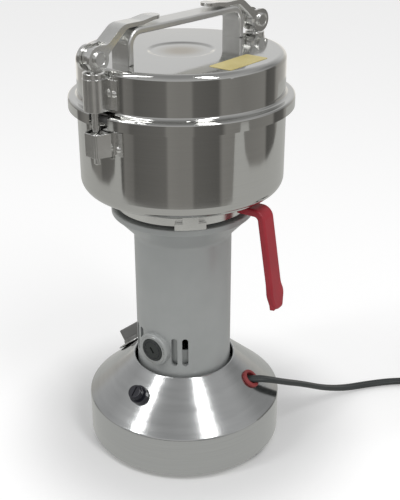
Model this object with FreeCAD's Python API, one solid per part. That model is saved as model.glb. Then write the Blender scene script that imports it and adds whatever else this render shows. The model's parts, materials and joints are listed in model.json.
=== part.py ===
import FreeCAD, Part
import math
import os
from FreeCAD import Vector

# High-speed grinding mill: a lidded steel bowl with spinning blades on an upright motor.
# Millimetres. The origin is on the mill's axis at the floor, +Z is up, and the strap handle
# and both latches lie along X, the front latch at -X.
# An angle round the mill is counted from +X towards +Y, in degrees.

# Running fits and free gaps
RUN = 0.05
CLEAR = 0.3
SEAT = 0.2

# Base
BASE_R = 87.5
SKIRT_BOTTOM = 5.5
SKIRT_TOP = 42.0
SKIRT_EDGE_R = 2.5
CONE_HOLE_R = 44.7
CONE_TOP = 79.8
CONE_LIP = 5.0
CONE_LIP_R = 1.2
BASE_SHEET = 1.5
PLATE_SHEET = 2.0
PLATE_HEIGHT = 7.0
FOOT_R = 11.0
FOOT_FOOTING_R = 9.5
FOOT_IN = 13.0
FOOT_RING_R = BASE_R - FOOT_IN
FOOT_ANGLES = (-86.0, 34.0, 154.0)
SCREW_R = 2.0
SCREW_HEAD_R = 3.8
SCREW_HEAD = 2.4

# Motor housing
COLUMN_R = 42.2
HOUSING_WALL = 4.0
HOUSING_FOOT = 60.0
FLARE_START = 202.0
HEAD_R = 60.6
HEAD_EDGE = 7.0
HEAD_TOP = 226.2
HEAD_FLOOR = 210.0
BRUSH_ANGLE = -173.5
BRUSH_HEIGHT = 102.0
BOSS_R = 15.2
BOSS_REACH = 46.5
BRUSH_CAP_R = 10.6
BRUSH_CAP_THICK = 3.2
CAP_SLOT_TURN = 35.0
VENT_OFFSETS = (25.0, 38.0, -25.0, -38.0)
VENT_WIDTH = 5.4
VENT_TALL = 27.5
VENT_HEIGHT = 101.5

# Motor seat
SEAT_FLANGE_R = 62.0
SEAT_FLANGE = 4.0
SEAT_WALL_R = 41.0
SEAT_WALL = 5.0
SEAT_SCREWS = 4
SEAT_SCREW_RING_R = 53.0

# Motor
STATOR_R = 37.6
STATOR_BORE_R = 22.5
YOKE_IN_R = 31.0
POLE_SPREAD = 110.0
STATOR_STAND = 20.0
STATOR_LOW = BRUSH_HEIGHT + STATOR_STAND
STATOR_HIGH = 168.0
COIL_FIT = 0.4
COIL_OUT_R = YOKE_IN_R - COIL_FIT
COIL_SIDE = 44.0
COIL_LEG_SPREAD = 28.0
COIL_END_SPREAD = 116.0
COIL_IN_R = 25.5
COIL_OVERHANG = 9.0
SHAFT_R = 5.0
SHAFT_LOW = 66.0
SHAFT_HIGH = 225.0
ARMATURE_R = 22.0
ARMATURE_SLOTS = 12
SLOT_WIDTH = 3.2
SLOT_DEPTH = 4.0
WINDING_R = 20.0
WINDING_OVERHANG = 8.0
COMMUTATOR_R = 13.0
COMMUTATOR_BARS = 24
COMMUTATOR_HALF = 9.0
BEARING_R = 13.0
BEARING_WIDE = 9.0
LOWER_BEARING_LOW = 70.0
UPPER_BEARING_LOW = 198.0
FAN_R = 34.0
FAN_LOW = 181.0
FAN_TALL = 11.0
FAN_BLADES = 9
BRACKET_ARM_WIDE = 12.0
BRUSH_WIDE = 6.5
BRUSH_DEEP = 11.0
HOLDER_WIDE = 11.0
HOLDER_DEEP = 15.0
HOLDER_START_R = 17.0

# Bowl mount and lock ring
RING_OUT_R = 57.0
RING_IN_R = 50.5
RING_LOW = 228.7
RING_HIGH = 235.3
CLAW_IN_R = 47.2
CLAW_LOW = 231.7
CLAW_COUNT = 3
CLAW_SPREAD = 36.0
CLAW_ANGLE = 30.0
TAB_R = 49.8
TAB_SPREAD = 34.0
GUIDE_ANGLES = (-131.0, -11.0, 109.0)
GUIDE_WIDE = 26.0
GUIDE_TAB_WIDE = 13.5
GUIDE_STEP = 232.3
LEVER_START_R = 54.3
LEVER_START_ANGLE = -81.0
LEVER_HEADING = -81.0
LEVER_REACH = 26.8
LEVER_WIDE = 14.2
LEVER_THICK = 3.8
LEVER_DROP = 85.0
LEVER_LEAN = 9.3
LEVER_BEND_R = 8.5
LEVER_RISE = 1.9
GRIP_SKIN = 1.3
GRIP_START = 4.5
GRIP_END_EXTRA = 2.2
PADDLE_LONG = 30.0
PADDLE_SWELL = 3.2
NUB_R = 2.2

# Bowl
BOWL_R = 84.6
BOWL_BOTTOM = 244.0
BOWL_CORNER_R = 11.0
BOWL_SHEET = 1.5
BOWL_FLANGE_R = 89.4
BOWL_FLANGE_TOP = 317.8
HUB_R = 46.9
HUB_BOTTOM = 226.2
HUB_SLEEVE_R = 17.5
HUB_SLEEVE_TOP = 252.0
HUB_BEARING_R = 13.0
HUB_BEARING_WIDE = 8.0
HUB_BEARING_LOW = 233.0
SEAL_TALL = 3.0
BLADE_SHAFT_R = 5.0
BLADE_SHAFT_LOW = 227.0
BLADE_SHAFT_HIGH = 291.0
BLADE_REACH = 76.0
BLADE_WIDE = 20.0
BLADE_THICK = 2.5
BLADE_LOW = 258.0
BLADE_STEP = 10.0
BLADE_LEVELS = (BLADE_LOW, BLADE_LOW + BLADE_STEP, BLADE_LOW + 2 * BLADE_STEP)
BLADE_ANGLES = (30.0, 90.0, 150.0)
BLADE_TIP_RISE = 6.0
SPACER_R = 10.0
NUT_ACROSS = 16.0
NUT_TALL = 7.0
COUPLING_R = 11.0
COUPLING_LOW = 216.5
COUPLING_HIGH = 232.0

# Lid
LID_R = 83.6
LID_TOP = 357.0
LID_SHOULDER_R = 5.0
LID_SHEET = 1.5
LID_FILLET_R = 3.0
RIM_R = 91.5
RIM_TOP = 323.7
RIM_BOTTOM = 314.3
RIM_EDGE_R = 2.0
DISH_R = 24.0
DISH_DEPTH = 1.2
GASKET_IN_R = 84.9
GASKET_OUT_R = 89.0
NOTCH_WIDE = 20.0
NOTCH_START = 85.5

# Strap handle
STRAP_TOP = 383.7
STRAP_THICK = 5.0
STRAP_WIDE = 20.0
STRAP_REACH = 66.0
STRAP_BEND_R = 13.0
STRAP_EDGE_R = 1.6

# Latches
BOLT_REACH = 93.0
BOLT_R = 3.0
BOLT_BOTTOM = 286.0
BOLT_HEAD_WIDE = 7.6
BOLT_HEAD_R = 7.0
PIN_HEIGHT = 367.0
PIN_R = 3.0
PIN_HEAD_R = 5.6
PIN_HEAD = 1.6
EYE_R = 9.6
EYE_DROP = 0.5
LEVER_FORK_WIDE = 14.0
FORK_SLOT_WIDE = 8.2
FORK_WALL = 2.6
WASHER_R = 8.3
WASHER_TALL = 4.0
BRACKET_R = 8.7
BRACKET_SHEET = 1.5
BRACKET_BOTTOM = 328.0
BRACKET_TOP = 352.5
BRACKET_CAP = 2.0
WING_REACH = 13.5
KEEPER_BOTTOM = 293.0
KEEPER_TOP = 311.5
KEEPER_FRONT = 100.5
KEEPER_FRONT_WIDE = 12.7
KEEPER_ROOT_WIDE = 21.0
KEEPER_WING_REACH = 17.5
NUT_WALL = 1.0
NUT_TOP_STEP = 1.5
NUT_BLOCK_TALL = 13.0
RIVET_R = 2.6
RIVET_RISE = 1.5

# Fittings on the cone
FUSE_ANGLE = -174.5
FUSE_IN = 23.9
FUSE_OUT = BASE_R - FUSE_IN
FUSE_COLLAR_R = 8.0
FUSE_COLLAR = 5.0
FUSE_CAP_R = 6.2
FUSE_CAP_TALL = 7.0
FUSE_BARREL_R = 6.0
FUSE_BARREL = 26.0
GLASS_R = 2.5
TIMER_ANGLE = 86.5
TIMER_IN = 22.5
TIMER_OUT = BASE_R - TIMER_IN
DIAL_R = 20.0
DIAL_THICK = 1.2
KNOB_R = 13.0
KNOB_BASE = 3.4
KNOB_GRIP_TALL = 10.8
KNOB_GRIP_WIDE = 8.4
KNOB_REST = 39.0
TIMER_BODY_R = 12.0
TIMER_BODY = 15.0
TIMER_STANDOFF = 1.2
SPINDLE_R = 3.0
BUSH_WALL = 2.0
GROMMET_ANGLE = -69.4
GROMMET_IN = 23.1
GROMMET_OUT = BASE_R - GROMMET_IN
GROMMET_R = 8.8
GROMMET_BORE_R = 5.4
GROMMET_LIP = 1.5
GROMMET_PROUD = 2.6

# Mains cord: the route of the stretch that isn't coiled, in millimetres
CORD_R = 4.0
CORD_ROUTE = (
    (19.5, -54.9, 61.0),
    (26.4, -65.0, 63.4),
    (37.1, -72.0, 59.8),
    (54.0, -76.1, 50.6),
    (78.9, -79.5, 37.5),
    (109.9, -83.4, 19.0),
    (138.7, -89.4, 7.0),
    (162.8, -99.8, 4.1),
    (185.9, -116.5, 4.1),
    (205.3, -138.1, 4.1),
    (221.5, -159.9, 4.1),
    (236.0, -176.4, 4.1),
)
COIL_CENTRE = (269.4, -148.1)
COIL_R = 40.0
COIL_BAND = 18.0
COIL_TALL = 16.5
PLUG_ANGLE = -27.0
PLUG_TAIL = 20.0
PLUG_LONG = 34.0
PLUG_WIDE = 27.0
PLUG_TALL = 14.0
PLUG_PIN_R = 2.0
PLUG_PIN_LONG = 19.0
PLUG_PIN_SPREAD = 9.5


def corner_arc(before, corner, after, radius):
    """Start, middle and end of the arc that rounds one corner."""
    to_before = (before - corner).normalize()
    to_after = (after - corner).normalize()
    half = to_before.getAngle(to_after) / 2
    cut = radius / math.tan(half)
    start = corner + to_before * cut
    end = corner + to_after * cut
    inward = (to_before + to_after).normalize()
    middle = corner + inward * (radius / math.sin(half) - radius)
    return start, middle, end


def edges_along(points, radii, closed):
    """Straight runs joined by tangent arcs, where a radius is given."""
    count = len(points)
    ends = []
    for index in range(count):
        point = points[index]
        radius = radii[index]
        open_end = not closed and index in (0, count - 1)
        if radius <= 0 or open_end:
            ends.append((point, None, point))
            continue
        before = points[index - 1]
        after = points[(index + 1) % count]
        ends.append(corner_arc(before, point, after, radius))
    edges = []
    runs = count if closed else count - 1
    for index in range(count):
        start, middle, end = ends[index]
        if middle is not None:
            edges.append(Part.Arc(start, middle, end).toShape())
        if index >= runs:
            continue
        onward = ends[(index + 1) % count][0]
        if end.distanceToPoint(onward) > 1e-6:
            edges.append(Part.LineSegment(end, onward).toShape())
    return edges


def outline(corners, place):
    """A closed wire through (a, b) or (a, b, radius) corners, laid out by place."""
    points = [place(corner[0], corner[1]) for corner in corners]
    radii = [corner[2] if len(corner) > 2 else 0 for corner in corners]
    return Part.Wire(edges_along(points, radii, True))


def upright(r, z):
    return Vector(r, 0, z)


def flat(x, y):
    return Vector(x, y, 0)


def turned(corners):
    """A round piece from its section, given as (radius, height) corners."""
    face = Part.Face(outline(corners, upright))
    return face.revolve(Vector(0, 0, 0), Vector(0, 0, 1), 360)


def slab(corners, low, high):
    """A flat piece from its plan, between two heights."""
    face = Part.Face(outline(corners, flat))
    face.translate(Vector(0, 0, low))
    return face.extrude(Vector(0, 0, high - low))


def side_plate(corners, low_y, high_y):
    """A piece from its side view in the XZ plane, between two places along Y."""
    face = Part.Face(outline(corners, upright))
    face.translate(Vector(0, low_y, 0))
    return face.extrude(Vector(0, high_y - low_y, 0))


def disc(radius, low, high, x=0.0, y=0.0):
    return Part.makeCylinder(radius, high - low, Vector(x, y, low), Vector(0, 0, 1))


def tube(outer, inner, low, high, x=0.0, y=0.0):
    return disc(outer, low, high, x, y).cut(disc(inner, low - 1, high + 1, x, y))


def block(low_x, high_x, low_y, high_y, low, high):
    size = Vector(high_x - low_x, high_y - low_y, high - low)
    return Part.makeBox(size.x, size.y, size.z, Vector(low_x, low_y, low))


def bar_along_y(radius, low_y, high_y, x, z):
    return Part.makeCylinder(radius, high_y - low_y, Vector(x, low_y, z), Vector(0, 1, 0))


def about_axis(shape, angle):
    """A copy turned round the mill's axis."""
    turned_copy = shape.copy()
    turned_copy.rotate(Vector(0, 0, 0), Vector(0, 0, 1), angle)
    return turned_copy


def moved(shape, x, y, z):
    shifted = shape.copy()
    shifted.translate(Vector(x, y, z))
    return shifted


def joined(shapes):
    """One solid out of pieces that meet."""
    whole = shapes[0].fuse(list(shapes[1:]))
    return whole.removeSplitter()


def group(shapes):
    """Separate solids in one file."""
    return Part.makeCompound([solid for shape in shapes for solid in shape.Solids])


def sheet_section(path, thickness):
    """The closed section of a sheet: its outer path, and the same path set in by its thickness.

    The path is a list of (radius, height, fillet), and the sheet lies on its left.
    """
    outer = [Vector(r, 0, z) for r, z, fillet in path]
    normals = []
    for start, end in zip(outer, outer[1:]):
        run = (end - start).normalize()
        normals.append(Vector(-run.z, 0, run.x))
    inner = []
    for index, (r, z, fillet) in enumerate(path):
        first = normals[max(index - 1, 0)]
        second = normals[min(index, len(normals) - 1)]
        mitre = (first + second).normalize()
        reach = thickness / mitre.dot(first)
        point = outer[index] + mitre * reach
        turn = first.x * second.z - first.z * second.x
        grown = fillet - thickness if turn > 0 else fillet + thickness
        inner.append((point.x, point.z, max(grown, 0.3) if fillet > 0 else 0))
    return [tuple(corner) for corner in path] + inner[::-1]


def cone_tilt():
    """How far the cone's outward normal leans from upright, in degrees."""
    return math.degrees(math.atan2(CONE_TOP - SKIRT_TOP, BASE_R - CONE_HOLE_R))


def cone_height(out):
    return SKIRT_TOP + (BASE_R - out) * (CONE_TOP - SKIRT_TOP) / (BASE_R - CONE_HOLE_R)


def on_cone(shape, angle, out):
    """Set a fitting, made upright at the origin, on the cone's outer face."""
    fitted = shape.copy()
    fitted.rotate(Vector(0, 0, 0), Vector(0, 1, 0), cone_tilt())
    fitted.translate(Vector(out, 0, cone_height(out)))
    return about_axis(fitted, angle)


def regular(sides, across):
    """The corners of a regular polygon with the given width across its flats."""
    radius = across / 2 / math.cos(math.pi / sides)
    corners = []
    for index in range(sides):
        turn = 2 * math.pi * (index + 0.5) / sides
        corners.append((radius * math.cos(turn), radius * math.sin(turn)))
    return corners


def sector(outer, inner, spread, low, high, angle=0.0):
    """Part of a ring, centred on an angle."""
    half = math.radians(spread / 2)
    start = Vector(outer * math.cos(half), -outer * math.sin(half), low)
    end = Vector(outer * math.cos(half), outer * math.sin(half), low)
    near_start = Vector(inner * math.cos(half), -inner * math.sin(half), low)
    near_end = Vector(inner * math.cos(half), inner * math.sin(half), low)
    edges = [
        Part.Arc(start, Vector(outer, 0, low), end).toShape(),
        Part.LineSegment(end, near_end).toShape(),
        Part.Arc(near_end, Vector(inner, 0, low), near_start).toShape(),
        Part.LineSegment(near_start, start).toShape(),
    ]
    face = Part.Face(Part.Wire(edges))
    return about_axis(face.extrude(Vector(0, 0, high - low)), angle)


def screw(x, y, seat, length):
    """A pan-headed screw that points up, its head under the seat."""
    head = disc(SCREW_HEAD_R, seat - SCREW_HEAD, seat, x, y)
    shank = disc(SCREW_R, seat, seat + length, x, y)
    return joined([head, shank])


def on_circle(radius, angle):
    turn = math.radians(angle)
    return radius * math.cos(turn), radius * math.sin(turn)


# Base

def make_base_shell():
    """Spun in one piece: a straight skirt, a cone and a lip turned down round the motor."""
    path = [
        (BASE_R, SKIRT_BOTTOM, 0),
        (BASE_R, SKIRT_TOP, SKIRT_EDGE_R),
        (CONE_HOLE_R, CONE_TOP, CONE_LIP_R),
        (CONE_HOLE_R, CONE_TOP - CONE_LIP, 0),
    ]
    shell = turned(sheet_section(path, BASE_SHEET))
    holes = [
        on_cone(disc(FUSE_BARREL_R + CLEAR, -8, 8), FUSE_ANGLE, FUSE_OUT),
        on_cone(disc(SPINDLE_R + BUSH_WALL, -8, 8), TIMER_ANGLE, TIMER_OUT),
        on_cone(disc(GROMMET_R - GROMMET_LIP, -8, 8), GROMMET_ANGLE, GROMMET_OUT),
    ]
    return shell.cut(holes)


def make_base_plate():
    plate = disc(BASE_R - BASE_SHEET, PLATE_HEIGHT, PLATE_HEIGHT + PLATE_SHEET)
    holes = []
    for angle in FOOT_ANGLES:
        x, y = on_circle(FOOT_RING_R, angle)
        holes.append(disc(SCREW_R, PLATE_HEIGHT - 1, PLATE_HEIGHT + 4, x, y))
    for index in range(SEAT_SCREWS):
        x, y = on_circle(SEAT_SCREW_RING_R, 45 + 360 / SEAT_SCREWS * index)
        holes.append(disc(SCREW_R, PLATE_HEIGHT - 1, PLATE_HEIGHT + 4, x, y))
    return plate.cut(holes)


def make_foot():
    """A moulded rubber foot, hollow underneath for its screw head."""
    foot = turned([
        (SCREW_R, 2.6), (SCREW_HEAD_R + 1, 2.6), (SCREW_HEAD_R + 1, 0),
        (FOOT_FOOTING_R, 0, 1.0), (FOOT_R, PLATE_HEIGHT), (SCREW_R, PLATE_HEIGHT),
    ])
    return foot


def make_rubber_feet():
    feet = []
    for angle in FOOT_ANGLES:
        x, y = on_circle(FOOT_RING_R, angle)
        feet.append(moved(make_foot(), x, y, 0))
    return group(feet)


def make_base_screws():
    screws = []
    for angle in FOOT_ANGLES:
        x, y = on_circle(FOOT_RING_R, angle)
        screws.append(screw(x, y, 2.6, 8.0))
    for index in range(SEAT_SCREWS):
        x, y = on_circle(SEAT_SCREW_RING_R, 45 + 360 / SEAT_SCREWS * index)
        screws.append(screw(x, y, PLATE_HEIGHT, PLATE_SHEET + SEAT_FLANGE))
    return group(screws)


def make_motor_seat():
    """A cast pedestal that carries the motor housing on the base plate."""
    low = PLATE_HEIGHT + PLATE_SHEET
    seat = turned([
        (SEAT_WALL_R - SEAT_WALL, low), (SEAT_FLANGE_R, low), (SEAT_FLANGE_R, low + SEAT_FLANGE, 1),
        (SEAT_WALL_R, low + SEAT_FLANGE, 2), (SEAT_WALL_R, HOUSING_FOOT),
        (SEAT_WALL_R - SEAT_WALL, HOUSING_FOOT),
    ])
    holes = []
    for index in range(SEAT_SCREWS):
        x, y = on_circle(SEAT_SCREW_RING_R, 45 + 360 / SEAT_SCREWS * index)
        holes.append(disc(SCREW_R, low - 1, low + SEAT_FLANGE + 1, x, y))
    return seat.cut(holes)


# Motor housing

def make_boss():
    """A round boss for one brush, made along +X."""
    inside = COLUMN_R - HOUSING_WALL / 2
    boss = Part.makeCylinder(BOSS_R, BOSS_REACH - inside, Vector(inside, 0, BRUSH_HEIGHT), Vector(1, 0, 0))
    rim = [edge for edge in boss.Edges if abs(edge.CenterOfMass.x - BOSS_REACH) < 0.01]
    return boss.makeFillet(1.5, rim)


def make_vent():
    """One upright slot with round ends, made along +X through the wall."""
    half = (VENT_TALL - VENT_WIDTH) / 2
    middle = block(30, 50, -VENT_WIDTH / 2, VENT_WIDTH / 2, VENT_HEIGHT - half, VENT_HEIGHT + half)
    ends = []
    for z in (VENT_HEIGHT - half, VENT_HEIGHT + half):
        ends.append(Part.makeCylinder(VENT_WIDTH / 2, 20, Vector(30, 0, z), Vector(1, 0, 0)))
    return middle.fuse(ends)


def make_motor_housing():
    """One casting: a tube, a flared head with a bearing seat, two brush bosses and vent slots."""
    inner = COLUMN_R - HOUSING_WALL
    bore = BEARING_R + RUN
    bearing_top = UPPER_BEARING_LOW + BEARING_WIDE
    body = turned([
        (COLUMN_R, HOUSING_FOOT), (COLUMN_R, FLARE_START, 9.0), (HEAD_R - 2.5, HEAD_TOP - HEAD_EDGE, 3.0),
        (HEAD_R, HEAD_TOP - HEAD_EDGE + 2, 1.0), (HEAD_R, HEAD_TOP, 0.8), (COUPLING_R + 2.5, HEAD_TOP),
        (COUPLING_R + 2.5, HEAD_FLOOR), (bore - 2.5, HEAD_FLOOR), (bore - 2.5, bearing_top),
        (bore, bearing_top), (bore, UPPER_BEARING_LOW), (bore + 4, UPPER_BEARING_LOW),
        (bore + 7, bearing_top - 4), (inner, bearing_top - 10, 4.0), (inner, HOUSING_FOOT),
    ])
    for side in (0, 180):
        body = body.fuse(about_axis(make_boss(), BRUSH_ANGLE + side))
    cuts = []
    for side in (0, 180):
        way = Part.makeCylinder(BRUSH_CAP_R + 0.15, 20, Vector(BOSS_REACH - 2.5, 0, BRUSH_HEIGHT), Vector(1, 0, 0))
        well = Part.makeBox(40, HOLDER_WIDE + 0.2, HOLDER_DEEP + 0.2,
                            Vector(30, -HOLDER_WIDE / 2 - 0.1, BRUSH_HEIGHT - HOLDER_DEEP / 2 - 0.1))
        cuts.append(about_axis(way, BRUSH_ANGLE + side))
        cuts.append(about_axis(well, BRUSH_ANGLE + side))
        for offset in VENT_OFFSETS:
            cuts.append(about_axis(make_vent(), BRUSH_ANGLE + side + offset))
    return body.cut(cuts).removeSplitter()


def make_brush_cap():
    """A screwed bakelite cap with a coin slot, made along +X."""
    low = BOSS_REACH - 2.5
    cap = Part.makeCylinder(BRUSH_CAP_R, BRUSH_CAP_THICK, Vector(low, 0, BRUSH_HEIGHT), Vector(1, 0, 0))
    top = low + BRUSH_CAP_THICK
    rim = [edge for edge in cap.Edges if abs(edge.CenterOfMass.x - top) < 0.01]
    cap = cap.makeFillet(0.8, rim)
    slot = Part.makeBox(2, 1.8, 6, Vector(top - 1.2, -0.9, BRUSH_HEIGHT - 3))
    slot.rotate(Vector(0, 0, BRUSH_HEIGHT), Vector(1, 0, 0), CAP_SLOT_TURN)
    return cap.cut(slot)


def both_brush_sides(shape):
    return group([about_axis(shape, BRUSH_ANGLE), about_axis(shape, BRUSH_ANGLE + 180)])


def make_brush_caps():
    return both_brush_sides(make_brush_cap())


def make_brush_holders():
    """Square brass tubes that guide the brushes in from the bosses."""
    low_x = HOLDER_START_R
    high_x = BOSS_REACH - 2.5
    low = BRUSH_HEIGHT - HOLDER_DEEP / 2
    high = BRUSH_HEIGHT + HOLDER_DEEP / 2
    shell = block(low_x, high_x, -HOLDER_WIDE / 2, HOLDER_WIDE / 2, low, high)
    way = block(low_x - 1, high_x + 1, -BRUSH_WIDE / 2 - RUN, BRUSH_WIDE / 2 + RUN,
                BRUSH_HEIGHT - BRUSH_DEEP / 2 - RUN, BRUSH_HEIGHT + BRUSH_DEEP / 2 + RUN)
    return both_brush_sides(shell.cut(way))


def make_carbon_brushes():
    """Carbon blocks, their inner ends ground to the commutator."""
    low_x = COMMUTATOR_R - 3
    high_x = BOSS_REACH - 2.6
    carbon = block(low_x, high_x, -BRUSH_WIDE / 2, BRUSH_WIDE / 2,
                   BRUSH_HEIGHT - BRUSH_DEEP / 2, BRUSH_HEIGHT + BRUSH_DEEP / 2)
    worn = disc(COMMUTATOR_R + RUN, BRUSH_HEIGHT - 20, BRUSH_HEIGHT + 20)
    return both_brush_sides(carbon.cut(worn))


# Motor

def make_stator_core():
    """A stack of sheets with two poles round the armature."""
    ring = tube(STATOR_R, YOKE_IN_R, STATOR_LOW, STATOR_HIGH)
    pole = sector(YOKE_IN_R + 1, STATOR_BORE_R, POLE_SPREAD, STATOR_LOW, STATOR_HIGH)
    window = sector(YOKE_IN_R, COIL_IN_R, COIL_LEG_SPREAD + 2, STATOR_LOW - 1, STATOR_HIGH + 1, COIL_SIDE)
    other = sector(YOKE_IN_R, COIL_IN_R, COIL_LEG_SPREAD + 2, STATOR_LOW - 1, STATOR_HIGH + 1, -COIL_SIDE)
    poles = pole.cut([window, other])
    core = joined([ring, poles, about_axis(poles, 180)])
    ears = []
    for angle in (90, 270):
        ears.append(sector(COLUMN_R - HOUSING_WALL, STATOR_R - 1, 20, STATOR_LOW, STATOR_HIGH, angle))
    return joined([core] + ears)


def make_field_coils():
    """One wound coil round each pole."""
    coils = []
    for angle in (0, 180):
        legs = []
        low = STATOR_LOW - COIL_OVERHANG
        high = STATOR_HIGH + COIL_OVERHANG
        inner = COIL_IN_R + COIL_FIT
        for side in (COIL_SIDE, -COIL_SIDE):
            legs.append(sector(COIL_OUT_R, inner, COIL_LEG_SPREAD, low, high, side))
        low_end = sector(COIL_OUT_R, inner, COIL_END_SPREAD, low, STATOR_LOW - COIL_FIT)
        high_end = sector(COIL_OUT_R, inner, COIL_END_SPREAD, STATOR_HIGH + COIL_FIT, high)
        coils.append(about_axis(joined(legs + [low_end, high_end]), angle))
    return group(coils)


def make_lower_bracket():
    """A cast cross that carries the lower bearing inside the housing."""
    inner = COLUMN_R - HOUSING_WALL
    low = LOWER_BEARING_LOW - 2.5
    high = LOWER_BEARING_LOW + BEARING_WIDE
    hub = disc(BEARING_R + 4, low, high)
    ring = tube(inner, inner - 4, low, low + 8)
    arms = []
    for angle in (0, 90):
        arm = block(-inner + 1, inner - 1, -BRACKET_ARM_WIDE / 2, BRACKET_ARM_WIDE / 2, low, low + 5)
        arms.append(about_axis(arm, BRUSH_ANGLE + 45 + angle))
    cross = joined([hub, ring] + arms)
    pocket = disc(BEARING_R, LOWER_BEARING_LOW, high + 1)
    way = disc(SHAFT_R + 1.5, low - 1, high)
    return cross.cut([pocket, way])


def bearing(bore_r, outer_r, low, wide):
    """A shielded ball bearing as its rings and shields look from outside."""
    groove = 0.6
    step = (outer_r - bore_r) * 0.28
    return turned([
        (bore_r, low, 0.4), (bore_r + step, low), (bore_r + step, low + groove),
        (outer_r - step, low + groove), (outer_r - step, low), (outer_r, low, 0.4),
        (outer_r, low + wide, 0.4), (outer_r - step, low + wide), (outer_r - step, low + wide - groove),
        (bore_r + step, low + wide - groove), (bore_r + step, low + wide), (bore_r, low + wide, 0.4),
    ])


def make_lower_bearing():
    return bearing(SHAFT_R + RUN, BEARING_R, LOWER_BEARING_LOW, BEARING_WIDE)


def make_upper_bearing():
    return bearing(SHAFT_R + RUN, BEARING_R, UPPER_BEARING_LOW, BEARING_WIDE)


def make_motor_shaft():
    """Ground shaft with a flat at its top for the coupling."""
    return disc(SHAFT_R, SHAFT_LOW, SHAFT_HIGH)


def make_armature_core():
    """Slotted sheets on the shaft."""
    core = tube(ARMATURE_R, SHAFT_R, STATOR_LOW, STATOR_HIGH)
    slot = block(ARMATURE_R - SLOT_DEPTH, ARMATURE_R + 2, -SLOT_WIDTH / 2, SLOT_WIDTH / 2,
                 STATOR_LOW - 1, STATOR_HIGH + 1)
    slots = [about_axis(slot, 360 / ARMATURE_SLOTS * index) for index in range(ARMATURE_SLOTS)]
    return core.cut(slots)


def make_armature_windings():
    """The end turns of the winding, above and below the core, with the wires in the slots."""
    low = turned([
        (SHAFT_R, STATOR_LOW - WINDING_OVERHANG, 1), (WINDING_R, STATOR_LOW - WINDING_OVERHANG, 4),
        (WINDING_R, STATOR_LOW), (SHAFT_R, STATOR_LOW),
    ])
    high = turned([
        (SHAFT_R, STATOR_HIGH), (WINDING_R, STATOR_HIGH), (WINDING_R, STATOR_HIGH + WINDING_OVERHANG, 4),
        (SHAFT_R, STATOR_HIGH + WINDING_OVERHANG, 1),
    ])
    wire = block(ARMATURE_R - SLOT_DEPTH, WINDING_R, -SLOT_WIDTH / 2, SLOT_WIDTH / 2,
                 STATOR_LOW - 0.5, STATOR_HIGH + 0.5)
    wires = [about_axis(wire, 360 / ARMATURE_SLOTS * index) for index in range(ARMATURE_SLOTS)]
    return joined([low, high] + wires)


def make_commutator():
    """A copper drum cut into bars."""
    low = BRUSH_HEIGHT - COMMUTATOR_HALF
    high = BRUSH_HEIGHT + COMMUTATOR_HALF
    drum = tube(COMMUTATOR_R, SHAFT_R, low, high)
    riser = tube(COMMUTATOR_R + 2, SHAFT_R, high, high + 2.5)
    drum = joined([drum, riser])
    gap = block(COMMUTATOR_R - 1.2, COMMUTATOR_R + 4, -0.4, 0.4, low - 1, high + 4)
    gaps = [about_axis(gap, 360 / COMMUTATOR_BARS * index) for index in range(COMMUTATOR_BARS)]
    return drum.cut(gaps)


def make_cooling_fan():
    """A moulded radial fan on the shaft above the armature."""
    hub = tube(9, SHAFT_R, FAN_LOW, FAN_LOW + FAN_TALL)
    back = tube(FAN_R, SHAFT_R, FAN_LOW, FAN_LOW + 1.6)
    blade = block(8, FAN_R - 1, -0.8, 0.8, FAN_LOW + 0.5, FAN_LOW + FAN_TALL)
    blades = [about_axis(blade, 360 / FAN_BLADES * index) for index in range(FAN_BLADES)]
    return joined([hub, back] + blades)


def make_drive_coupling():
    """A steel cup on the motor shaft whose square mouth takes the blade shaft's end."""
    cup = disc(COUPLING_R, COUPLING_LOW, COUPLING_HIGH)
    square = 7.0 + 2 * RUN
    mouth = block(-square / 2, square / 2, -square / 2, square / 2, SHAFT_HIGH + 0.5, COUPLING_HIGH + 1)
    return cup.cut([disc(SHAFT_R, COUPLING_LOW - 1, SHAFT_HIGH), mouth])


# Lock ring

def make_ring_guides():
    """Three blocks on the housing's head: a ledge under the ring, a wide foot and a narrow stop."""
    guides = []
    foot_spread = math.degrees(GUIDE_WIDE / HEAD_R)
    tab_spread = math.degrees(GUIDE_TAB_WIDE / HEAD_R)
    skirt = RING_OUT_R + CLEAR
    for angle in GUIDE_ANGLES:
        foot = sector(HEAD_R, skirt, foot_spread, HEAD_TOP, GUIDE_STEP, angle)
        tab = sector(HEAD_R, skirt, tab_spread, GUIDE_STEP - 1, BOWL_BOTTOM - SEAT, angle)
        ledge = sector(skirt + 0.5, RING_IN_R + 1, foot_spread, HEAD_TOP, RING_LOW - SEAT, angle)
        hook = sector(skirt + 0.5, RING_OUT_R - 3, tab_spread, RING_HIGH + SEAT, BOWL_BOTTOM - SEAT, angle)
        guides.append(joined([foot, tab, ledge, hook]))
    return group(guides)


def lever_frame(shape):
    """Set the lever, made along +X from the origin, on the ring."""
    x, y = on_circle(LEVER_START_R, LEVER_START_ANGLE)
    placed = shape.copy()
    placed.rotate(Vector(0, 0, 0), Vector(0, 0, 1), LEVER_HEADING)
    placed.translate(Vector(x, y, 0))
    return placed


def lever_path(start, drop):
    """Side view of the lever's outer line: out along the ring's height, then down and slightly out."""
    top = RING_HIGH + LEVER_RISE
    lean = math.radians(LEVER_LEAN)
    return [
        (start, top, 0),
        (LEVER_REACH, top, LEVER_BEND_R),
        (LEVER_REACH + drop * math.tan(lean), top - drop, 0),
    ]


def bent_bar(path, thickness, wide):
    """A flat bar bent along a side path, the given thickness below it."""
    reversed_path = path[::-1]
    section = sheet_section(reversed_path, thickness)
    return side_plate(section, -wide / 2, wide / 2)


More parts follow.
